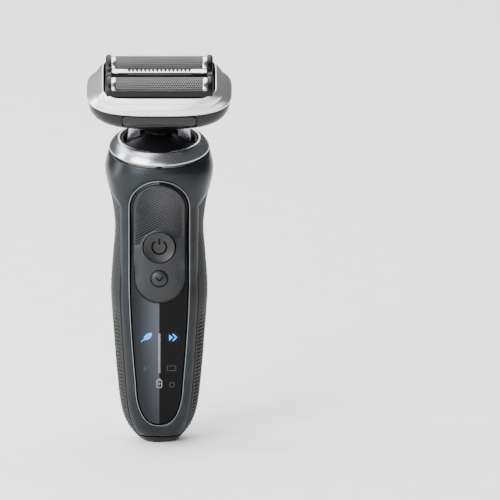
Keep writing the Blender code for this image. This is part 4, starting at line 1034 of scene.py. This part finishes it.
def display_icons():
    """A feather, a double arrow, a bar, and faint droplets, cartridge, lock and battery."""
    blade = [(-1.9, -0.25), (-1.2, 0.75), (0.0, 1.15), (1.4, 1.05), (2.5, 0.45), (2.2, -0.35), (1.0, -0.95),
             (-0.6, -0.95)]
    vein = [(-1.4, -0.12), (1.2, 0.0), (1.2, 0.18), (-1.4, 0.08)]
    quill = [(-3.3, -0.28), (-1.7, -0.12), (-1.7, 0.12), (-3.3, 0.02)]
    feather = (-5.0, 48.1, radians(38.0))
    icon("soft_mode_symbol", [icon_slab(blade, *feather, vein), icon_slab(quill, *feather)], ICON_BLUE)
    arrow = [(-0.1, -1.4), (1.45, 0.0), (-0.1, 1.4)]
    chevron = [(1.1, -1.5), (1.8, -1.5), (3.3, 0.0), (1.8, 1.5), (1.1, 1.5), (2.5, 0.0)]
    icon("fast_mode_symbol", [icon_slab(arrow, 4.2, 47.9), icon_slab(chevron, 4.2, 47.9)], ICON_BLUE)
    icon("light_bar", [icon_slab(rounded_box(0.42, 8.7, 0.4, 4), 0.0, 41.1)], LIGHT_BAR)
    drop = [(0.0, 1.3), (0.55, 0.3), (0.7, -0.3), (0.45, -0.85), (0.0, -1.05), (-0.45, -0.85), (-0.7, -0.3),
            (-0.55, 0.3)]
    small = [(a * 0.65, b * 0.65) for a, b in drop]
    icon("droplet_symbols", [icon_slab(drop, -6.0, 34.2), icon_slab(small, -4.2, 35.2)], FAINT_INK)
    cartridge = icon_slab(rounded_box(2.0, 1.25, 0.6, 4), 5.1, 34.5, 0.0, rounded_box(1.6, 0.85, 0.35, 4))
    lock = icon_slab(circle(1.25, 0.0, 24), 5.3, 27.2, 0.0, circle(0.85, 0.0, 24))
    icon("cartridge_symbol", [cartridge, lock], FAINT_INK)
    cell = icon_slab(rounded_box(1.2, 1.8, 0.5, 4), 0.0, 27.7, 0.0, rounded_box(0.75, 1.35, 0.25, 4))
    bolt = [(0.1, 1.0), (-0.55, -0.15), (-0.05, -0.15), (-0.2, -1.0), (0.55, 0.2), (0.05, 0.2)]
    terminal = icon_slab(rounded_box(0.5, 0.25, 0.1, 2), 0.0, 29.85)
    icon("battery_symbol", [cell, icon_slab(bolt, 0.0, 27.7), terminal], LIGHT_BAR)


# ---------------------------------------------------------------- collar and neck

def collar():
    """The bevelled ring on top of the handle, and the dark ring inside it."""
    profile = [
        (COLLAR_OUTER - 0.05, -4.5), (COLLAR_OUTER, -4.2), (COLLAR_OUTER - 0.25, -3.6),
        (COLLAR_OUTER - 1.1, -2.4), (COLLAR_OUTER - 2.2, -1.2), (LIP_RADIUS + 0.55, -0.42),
        (LIP_RADIUS + 0.25, -0.12), (LIP_RADIUS - 0.25, 0.0),
        (LIP_RADIUS - 0.7, -0.06), (LIP_RADIUS - 0.95, -0.3), (LIP_RADIUS - 1.0, -0.8),
        (LIP_RADIUS - 1.0, -4.5),
    ]
    bm = moved(turned(profile, 128, closed=True), COLLAR_FRAME)
    piece("chromed_collar", bm, COLLAR_CHROME, "handle", ["collar_ring"], 60.0)
    outer = LIP_RADIUS - 1.3
    seal = [(outer, -4.4), (outer, -1.0), (outer - 0.12, -0.6), (outer - 0.4, -0.5), (SEAL_INNER + 0.1, -0.9),
            (SEAL_INNER, -1.4), (SEAL_INNER, -4.4)]
    bm = moved(turned(seal, 112, closed=True), COLLAR_FRAME)
    piece("collar_seal_ring", bm, SEAL_RUBBER, "handle", ["collar_seal"], 50.0)


def dome():
    """The shallow cover round the drive pin, slotted for the two legs."""
    rim, hole, rise, drop, wall = SEAL_INNER - 0.3, 4.15, 2.6, 1.9, 1.2

    def side_of_wall(edge, depth, steps=18):
        radii = [hole + (edge - hole) * i / steps for i in range(steps + 1)]
        return [(radius, rise - depth - (rise + drop) * (radius / rim) ** 2.2) for radius in radii]

    profile = side_of_wall(rim, 0.0) + [(rim, -drop - wall)] + side_of_wall(rim - wall, wall)[::-1]
    bm = turned(profile, 96, closed=True)
    cuts = []
    for side in (-1, 1):
        x = sorted((side * (LEG_INNER - 2.4), side * (LEG_OUTER_LOW + 4.0)))
        reach = LEG_HALF_DEPTH + 1.0
        cuts.append(box((x[0], -reach, -8.0), (x[1], reach, 5.0)))
    bm = moved(combine(bm, cuts), COLLAR_FRAME)
    piece("neck_dome_skin", bm, DOME_SKIN, "handle", ["neck_dome"], 40.0)


def legs():
    """Two cranked arms with chamfered faces that carry the head's axles."""
    foot, axle = -5.3, 15.8
    for side, name in ((-1, "left"), (1, "right")):
        outline = [(side * (LEG_OUTER_LOW - 1.2), foot), (side * LEG_OUTER_LOW, -1.0),
                   (side * LEG_OUTER_TOP, axle - 6.0), (side * LEG_OUTER_TOP, axle + 2.2),
                   (side * LEG_INNER, axle + 2.2), (side * LEG_INNER, foot)]
        bm = slab(outline, -LEG_HALF_DEPTH, LEG_HALF_DEPTH)
        soften(bm, 0.5, 3, 20.0)
        moved(bm, COLLAR_FRAME)
        piece("cranked_leg_" + name, bm, LEG_METAL, "neck", ["leg_" + name], 30.0)


def boot():
    """The flared rubber sleeve round the drive pin. Shares run across its width, then up its height."""
    low, inner, outer, rise = 2.6 + 1.2, 2.3, 7.0, 5.4
    width = outer - inner
    shares = ((0.0, 1.0), (0.12, 1.02), (0.23, 0.98), (0.27, 0.86), (0.3, 0.74), (0.36, 0.6), (0.45, 0.46),
              (0.58, 0.3), (0.72, 0.19), (0.86, 0.11), (0.95, 0.06), (1.0, 0.0), (0.83, 0.0), (0.4, 0.18),
              (0.13, 0.37), (0.0, 0.93))
    profile = [(inner + across * width, low + up * rise) for across, up in shares]
    bm = moved(turned(profile, 64, closed=True), COLLAR_FRAME)
    piece("drive_boot_skin", bm, DOME_SKIN, "neck", ["drive_boot"], 50.0)


# ---------------------------------------------------------------- head

def head_frame():
    """The plated rim: a bright upper bevel, a grey lower facet, and a squarish opening for the cassette.

    Each shape gives half width, half depth, squareness, height, rise at the ends and drop at the rear.
    """
    top = RIM_HEIGHT
    wide, deep = HEAD_HALF_WIDTH, HEAD_HALF_DEPTH
    shapes = (
        (OPENING_HALF_WIDTH, OPENING_HALF_DEPTH, OPENING_POWER, top - RIM_LIP, 0.0, 1.0),
        (OPENING_HALF_WIDTH, OPENING_HALF_DEPTH, OPENING_POWER, top - 0.3, 1.0, 0.9),
        (OPENING_HALF_WIDTH + 0.15, OPENING_HALF_DEPTH + 0.12, 8.0, top - 0.05, 1.0, 0.9),
        (OPENING_HALF_WIDTH + 0.5, OPENING_HALF_DEPTH + 0.35, 7.0, top, 1.0, 0.9),
        (wide - 3.1, deep - 0.75, 3.7, top - 3.7, 1.2, 0.6),
        (wide - 2.7, deep - 0.5, 3.6, top - 4.1, 1.15, 0.6),
        (wide - 2.2, deep - 0.4, 3.5, top - 4.45, 1.05, 0.6),
        (wide - 0.35, deep - 0.08, HEAD_POWER, top - 5.7, 0.45, 0.3),
        (wide, deep, HEAD_POWER, top - 6.1, 0.35, 0.2),
        (wide - 0.1, deep - 0.08, HEAD_POWER, FRAME_BOTTOM + 0.3, 0.0, 0.0),
        (wide - 0.4, deep - 0.3, HEAD_POWER, FRAME_BOTTOM, 0.0, 0.0),
        (OPENING_HALF_WIDTH + 1.8, OPENING_HALF_DEPTH + 1.7, 6.0, FRAME_BOTTOM, 0.0, 0.0),
        (OPENING_HALF_WIDTH + 1.8, OPENING_HALF_DEPTH + 1.7, 6.0, top - RIM_LIP, 0.0, 1.0),
    )
    wide_facets = (3, 6)
    fine = []
    for number, (here, there) in enumerate(zip(shapes, shapes[1:])):
        parts = 6 if number in wide_facets else 1
        fine += [[a + (b - a) * i / parts for a, b in zip(here, there)] for i in range(parts)]
    fine.append(shapes[-1])
    rings = []
    for half_x, half_y, power, height, rise, drop in fine:
        ring = []
        for x, y in superellipse(half_x, half_y, power, RIM_POINTS, max(power, REAR_POWER)):
            end = RIM_END_RISE * blend_steps(abs(x) / half_x, RIM_RISE_START, 1.0)
            ring.append((x, y, height + rise * end - drop * blend_steps(y / half_y, 0.0, 1.0)))
        rings.append(ring)
    bm = moved(loft(rings, close_rings=True), HEAD_FRAME)
    piece("plated_head_rim", bm, HEAD_SILVER, "head", ["head_frame"], 24.0)


def base_section(height):
    """Half the width and half the depth of the lower head shell, which swells from its floor."""
    share = (height - BASE_BOTTOM) / (FRAME_BOTTOM - BASE_BOTTOM)
    grow = sqrt(max(1 - (1 - share) ** 2.4, 0.0))
    return HEAD_HALF_WIDTH - 6.2 + 5.8 * grow, HEAD_HALF_DEPTH - 3.2 + 2.9 * grow


def head_base():
    """The dark lower shell, cut out for the tray, the legs, the axles, the drive and the release panels."""
    heights = [BASE_BOTTOM + (BASE_TOP - BASE_BOTTOM) * (i / 14) ** 1.5 for i in range(15)]
    rings = []
    for height in heights:
        half_x, half_y = base_section(height)
        outline = superellipse(half_x, half_y, HEAD_POWER, 120, REAR_POWER)
        rings.append([(x, y, height) for x, y in outline])
    bm = loft(rings)
    top = BASE_FLOOR + 1.0
    tray = superellipse(OPENING_HALF_WIDTH + 1.7, OPENING_HALF_DEPTH + 1.6, 6.0, 80)
    cuts = [slab(tray, BASE_FLOOR, 8.0, "Z")]
    for side in (-1, 1):
        x = sorted((side * (LEG_INNER - 0.6), side * (LEG_OUTER_TOP + 0.6)))
        cuts.append(box((x[0], -5.2, BASE_BOTTOM - 1), (x[1], 5.2, top)))
        deep = HEAD_HALF_DEPTH - 4.7
        y = sorted((side * deep, side * (HEAD_HALF_DEPTH + 2)))
        cuts.append(box((-15.4, y[0], -1.7), (15.4, y[1], BASE_TOP + 1.0)))
    cuts.append(rod((0, 0, 0), 1.5, 27.8, "X"))
    cuts.append(box((-4.8, -3.7, BASE_BOTTOM - 1), (4.8, 3.7, top)))
    cuts.append(box((-3.6, -10.1, 0.0), (3.6, 10.1, top)))
    bm = moved(combine(bm, cuts), HEAD_FRAME)
    piece("head_lower_shell", bm, DEEP_BLACK, "head", ["head_base"], 32.0)


PANEL_MIDDLE = 1.35
PANEL_WALL = 0.5


def release_buttons():
    """Glossy panels that follow the lower shell, one in front and one behind, thin enough to press in."""
    for side, body in ((-1, "release_front"), (1, "release_rear")):
        outline = [(x, z + PANEL_MIDDLE) for x, z in rounded_box(15.1, 2.75, 2.0, 6)]
        bm = slab(outline, 0.0, PANEL_WALL)
        soften(bm, 0.3, 3, 60.0, lambda e: max(v.co.y for v in e.verts) < 0.01)
        slice_up(bm, "X", steps_between(-14.9, 14.9, 0.8))

        def shape(co):
            half_x, half_y = base_section(co.z)
            depth = (half_y + 0.3) * (1 - abs(co.x / half_x) ** HEAD_POWER) ** (1 / HEAD_POWER)
            return Vector((co.x * -side, side * (depth - co.y), co.z))

        moved(bend(bm, shape), HEAD_FRAME)
        bmesh.ops.recalc_face_normals(bm, faces=bm.faces)
        name = "release_button_" + ("front" if side < 0 else "rear")
        piece(name + "_panel", bm, GLOSS, body, [name], 40.0)


def holders():
    """Black foil holders with round-cornered end caps, and clips of bright steel at the foil's ends."""
    for side, place_name in ((-1, "front"), (1, "rear")):
        shift = Matrix.Translation((0, side * ELEMENT_SPACING, 0))
        shoulder, crown = FOIL_CENTRE - 1.2, FOIL_CENTRE + FOIL_RADIUS + 0.25
        turns = [pi * i / 28 for i in range(29)]
        arch = [(HOLDER_HALF_DEPTH * cos(turn), shoulder + (crown - shoulder) * sin(turn) ** 0.7)
                for turn in turns]
        arch += [(-HOLDER_HALF_DEPTH, HOLDER_BOTTOM), (HOLDER_HALF_DEPTH, HOLDER_BOTTOM)]
        bm = slab(arch, -HOLDER_HALF_WIDTH, HOLDER_HALF_WIDTH, "X")
        soften(bm, 1.3, 5, 60.0, lambda e: min(abs(v.co.x) for v in e.verts) > HOLDER_HALF_WIDTH - 0.1
               and max(v.co.z for v in e.verts) > HOLDER_BOTTOM + 0.1)
        reach = HOLDER_HALF_DEPTH + 2
        saddle = box((-HOLDER_INSIDE, -reach, FOIL_CENTRE + 1.9), (HOLDER_INSIDE, reach, 20.0))
        room = FOIL_RADIUS + 0.25
        well = box((-HOLDER_INSIDE, -room, HOLDER_BOTTOM - 1), (HOLDER_INSIDE, room, 20.0))
        bm = combine(bm, [saddle, well])
        moved(bm, HEAD_FRAME @ shift)
        piece("foil_cradle_" + place_name, bm, DEEP_BLACK, "element_" + place_name,
              ["foil_holder_" + place_name], 35.0)
        turns = [pi * i / 24 for i in range(25)]
        arc = [(FOIL_RADIUS * cos(turn), FOIL_CENTRE + FOIL_RADIUS * sin(turn)) for turn in turns]
        arc += [(-FOIL_RADIUS + 0.4, FOIL_CENTRE - 1.0), (FOIL_RADIUS - 0.4, FOIL_CENTRE - 1.0)]
        clips = []
        for end in (-1, 1):
            x = sorted((end * (HOLDER_INSIDE - 1.9), end * (HOLDER_INSIDE - 0.1)))
            clip = slab(arc, x[0], x[1], "X")
            soften(clip, 0.15, 2, 50.0)
            clips.append(clip)
        bm = moved(join(*clips), HEAD_FRAME @ shift)
        piece("foil_clips_" + place_name, bm, PLATE_STEEL, "element_" + place_name, (), 35.0)


HOLE_PITCH = 0.95
HOLE_WEB = 0.095
FOIL_REACH = 17.9
FOIL_SHEET = 0.12
FOIL_SKIRT = 2.0


def foil_sheet():
    """A flat field of six-sided holes, cut to size: its length runs along X and its arc along Z.

    The holes are coarser than real ones, so that they show.
    """
    arc = pi * FOIL_RADIUS / 2 + FOIL_SKIRT
    cell = bmesh.new()
    bmesh.ops.create_circle(cell, cap_ends=True, radius=HOLE_PITCH / sqrt(3), segments=6,
                            matrix=Matrix.Rotation(pi / 2, 4, "X"))
    bmesh.ops.rotate(cell, verts=cell.verts, matrix=Matrix.Rotation(pi / 6, 3, "Y"))
    bmesh.ops.inset_region(cell, faces=cell.faces[:], thickness=HOLE_WEB, use_even_offset=True,
                           use_boundary=True)
    inner = min(cell.faces, key=lambda face: face.calc_center_median().length)
    bmesh.ops.delete(cell, geom=[inner], context="FACES")
    row_pitch = HOLE_PITCH * sqrt(3) / 2
    columns = int(2 * FOIL_REACH / HOLE_PITCH) + 2
    rows = int(2 * arc / row_pitch) + 2
    row = bmesh.new()
    mesh = bpy.data.meshes.new("cell")
    cell.to_mesh(mesh)
    cell.free()
    for column in range(columns):
        before = len(row.verts)
        row.from_mesh(mesh)
        row.verts.ensure_lookup_table()
        bmesh.ops.translate(row, verts=row.verts[before:], vec=(HOLE_PITCH * (column - columns / 2), 0, 0))
    row.to_mesh(mesh)
    row.free()
    bm = bmesh.new()
    for level in range(rows):
        before = len(bm.verts)
        bm.from_mesh(mesh)
        bm.verts.ensure_lookup_table()
        shift = HOLE_PITCH / 2 * (level % 2)
        bmesh.ops.translate(bm, verts=bm.verts[before:], vec=(shift, 0, row_pitch * (level - rows / 2)))
    bpy.data.meshes.remove(mesh)
    bmesh.ops.remove_doubles(bm, verts=bm.verts, dist=0.01)
    along, across = AXES["X"], AXES["Z"]
    for normal, reach in ((along, FOIL_REACH), (-along, FOIL_REACH), (across, arc), (-across, arc)):
        bmesh.ops.bisect_plane(bm, geom=all_of(bm), dist=0.001, plane_co=normal * reach, plane_no=normal,
                               clear_outer=True)
    return bm


def foils():
    """Each sheet bent over its cutter, with straight skirts below the arch."""
    for side, place_name in ((-1, "front"), (1, "rear")):
        bm = foil_sheet()
        quarter = pi * FOIL_RADIUS / 2

        def shape(co):
            if abs(co.z) <= quarter:
                turn = co.z / FOIL_RADIUS
                return Vector((co.x, FOIL_RADIUS * sin(turn), FOIL_CENTRE + FOIL_RADIUS * cos(turn)))
            return Vector((co.x, FOIL_RADIUS * (1 if co.z > 0 else -1), FOIL_CENTRE - (abs(co.z) - quarter)))

        bend(bm, shape)
        point_out(bm, (0.0, 0.0, FOIL_CENTRE))
        moved(bm, HEAD_FRAME @ Matrix.Translation((0, side * ELEMENT_SPACING, 0)))
        piece("perforated_foil_" + place_name, bm, FOIL_STEEL, "element_" + place_name,
              ["foil_" + place_name], 40.0, FOIL_SHEET)


def trimmer():
    """The middle trimmer: a black carrier and a bright comb whose teeth zig-zag along its centre."""
    low, top = HOLDER_BOTTOM, FOIL_CENTRE + 2.2
    bm = slab(rounded_box(HOLDER_HALF_WIDTH, 1.7, 1.2, 6), low, top, "Z")
    soften(bm, 0.5, 3, 50.0, lambda e: min(v.co.z for v in e.verts) > top - 0.1)
    bm = combine(bm, [box((-HOLDER_INSIDE, -0.95, 9.0), (HOLDER_INSIDE, 0.95, top + 2)),
                      box((-2.4, -0.95, low - 1), (2.4, 0.95, 10.0))])
    moved(bm, HEAD_FRAME)
    piece("trimmer_carrier_body", bm, DEEP_BLACK, "element_middle", ["trimmer_carrier"])
    teeth, reach = 16, 13.3
    pitch = 2 * reach / teeth
    end, edge, root = 19.5, 1.3, -0.8
    comb = [(-end, -edge), (end, -edge), (end, edge), (reach, edge)]
    for i in range(teeth):
        gap = ((0.1, edge), (0.4, root), (0.6, root), (0.9, edge))
        comb += [(reach - pitch * i - pitch * share, y) for share, y in gap]
    comb += [(-reach, edge), (-end, edge)]
    bm = slab(comb, top + 0.3, top + 1.25, "Z")
    soften(bm, 0.1, 2, 40.0)
    moved(bm, HEAD_FRAME)
    piece("toothed_trimmer_comb", bm, PLATE_STEEL, "element_middle", ["trimmer_comb"], 30.0)


# ---------------------------------------------------------------- carried-over pieces

CARRIED_OVER = (
    (BLACK, ("base_cap", "inlet_socket", "chassis")),
    (DEEP_BLACK, ("cassette_frame",)),
    (GOLD, ("inlet_pin_left", "inlet_pin_right")),
    (PALE, ("neck_bracket", "motor_mount", "neck_carrier", "cutter_bridge")),
    (CELL, ("battery",)),
    (BOARD, ("circuit_board",)),
    (MILKY, ("light_guide",)),
    (CUTTER_STEEL, ("cutter_front", "cutter_rear")),
    (BLADE_STEEL, ("roll_pin_front", "roll_pin_rear", "power_switch", "mode_switch", "board_screw_upper",
                   "board_screw_lower", "motor", "motor_screw_left", "motor_screw_right", "motor_shaft",
                   "drive_pin", "pivot_pin_left", "pivot_pin_right", "cutter_spring_front",
                   "cutter_spring_rear", "trimmer_blade")),
)


def dress_cad_nodes():
    """Gives the model's own pieces, which keep their shapes, their finishes."""
    for material, names in CARRIED_OVER:
        for name in names:
            node = NODES[name]
            node.data.materials.clear()
            node.data.materials.append(material)


# ---------------------------------------------------------------- studio

def area(name, place_at, aim, size, power):
    light = bpy.data.lights.new(name, "AREA")
    light.shape = "RECTANGLE"
    light.size, light.size_y = size
    light.energy = power
    lamp_object = bpy.data.objects.new(name, light)
    lamp_object.location = place_at
    direction = Vector(aim) - Vector(place_at)
    lamp_object.rotation_euler = direction.to_track_quat("-Z", "Y").to_euler()
    lamp_object.visible_camera = False
    bpy.context.scene.collection.objects.link(lamp_object)


def studio():
    bm = bmesh.new()
    bmesh.ops.create_grid(bm, x_segments=24, y_segments=24, size=6.0)
    floor = as_object(bm, "studio_floor")
    material, tree, shader = finish("matt_white_paper", "#f6f6f6", 0.9, 0.0, Specular_IOR_Level=0.1)
    grain(tree, shader, 3.0, 0.02, "#f8f8f8", "#f2f2f2", 0.9, 0.02)
    floor.data.materials.append(material)
    world = bpy.data.worlds.new("studio")
    world.use_nodes = True
    world.node_tree.nodes["Background"].inputs["Color"].default_value = colour("#ffffff")
    world.node_tree.nodes["Background"].inputs["Strength"].default_value = 0.15
    bpy.context.scene.world = world
    area("key_front_left", (-1.05, -1.0, 0.8), (0, 0, 0.08), (0.9, 1.2), 46.0)
    area("front_low", (-0.5, -1.55, 0.55), (0, 0, 0.12), (1.4, 0.6), 20.0)
    area("top", (-0.3, 0.6, 1.6), (0, 0.2, 0.0), (2.8, 2.2), 95.0)
    area("strip_left", (-1.1, 0.1, 0.35), (0, 0, 0.1), (0.25, 0.9), 10.0)


def camera():
    rise, distance = radians(14.0), 3.0
    target = 0.0791 / cos(rise)
    lens_data = bpy.data.cameras.new("camera")
    lens_data.sensor_width = 36.0
    lens_data.lens = 36.0 * distance / 0.20833
    lens_data.shift_x = 0.1814
    lens_data.clip_end = 20.0
    view = bpy.data.objects.new("camera", lens_data)
    view.location = (0.0, -distance * cos(rise), target + distance * sin(rise))
    view.rotation_euler = (pi / 2 - rise, 0.0, 0.0)
    bpy.context.scene.collection.objects.link(view)
    bpy.context.scene.camera = view


front_shell()
rear_pieces()
window_trim()
lens()
button_pad()
buttons()
power_symbol()
mode_symbol()
display_icons()
collar()
dome()
legs()
boot()
head_frame()
head_base()
release_buttons()
holders()
foils()
trimmer()
dress_cad_nodes()
studio()
camera()
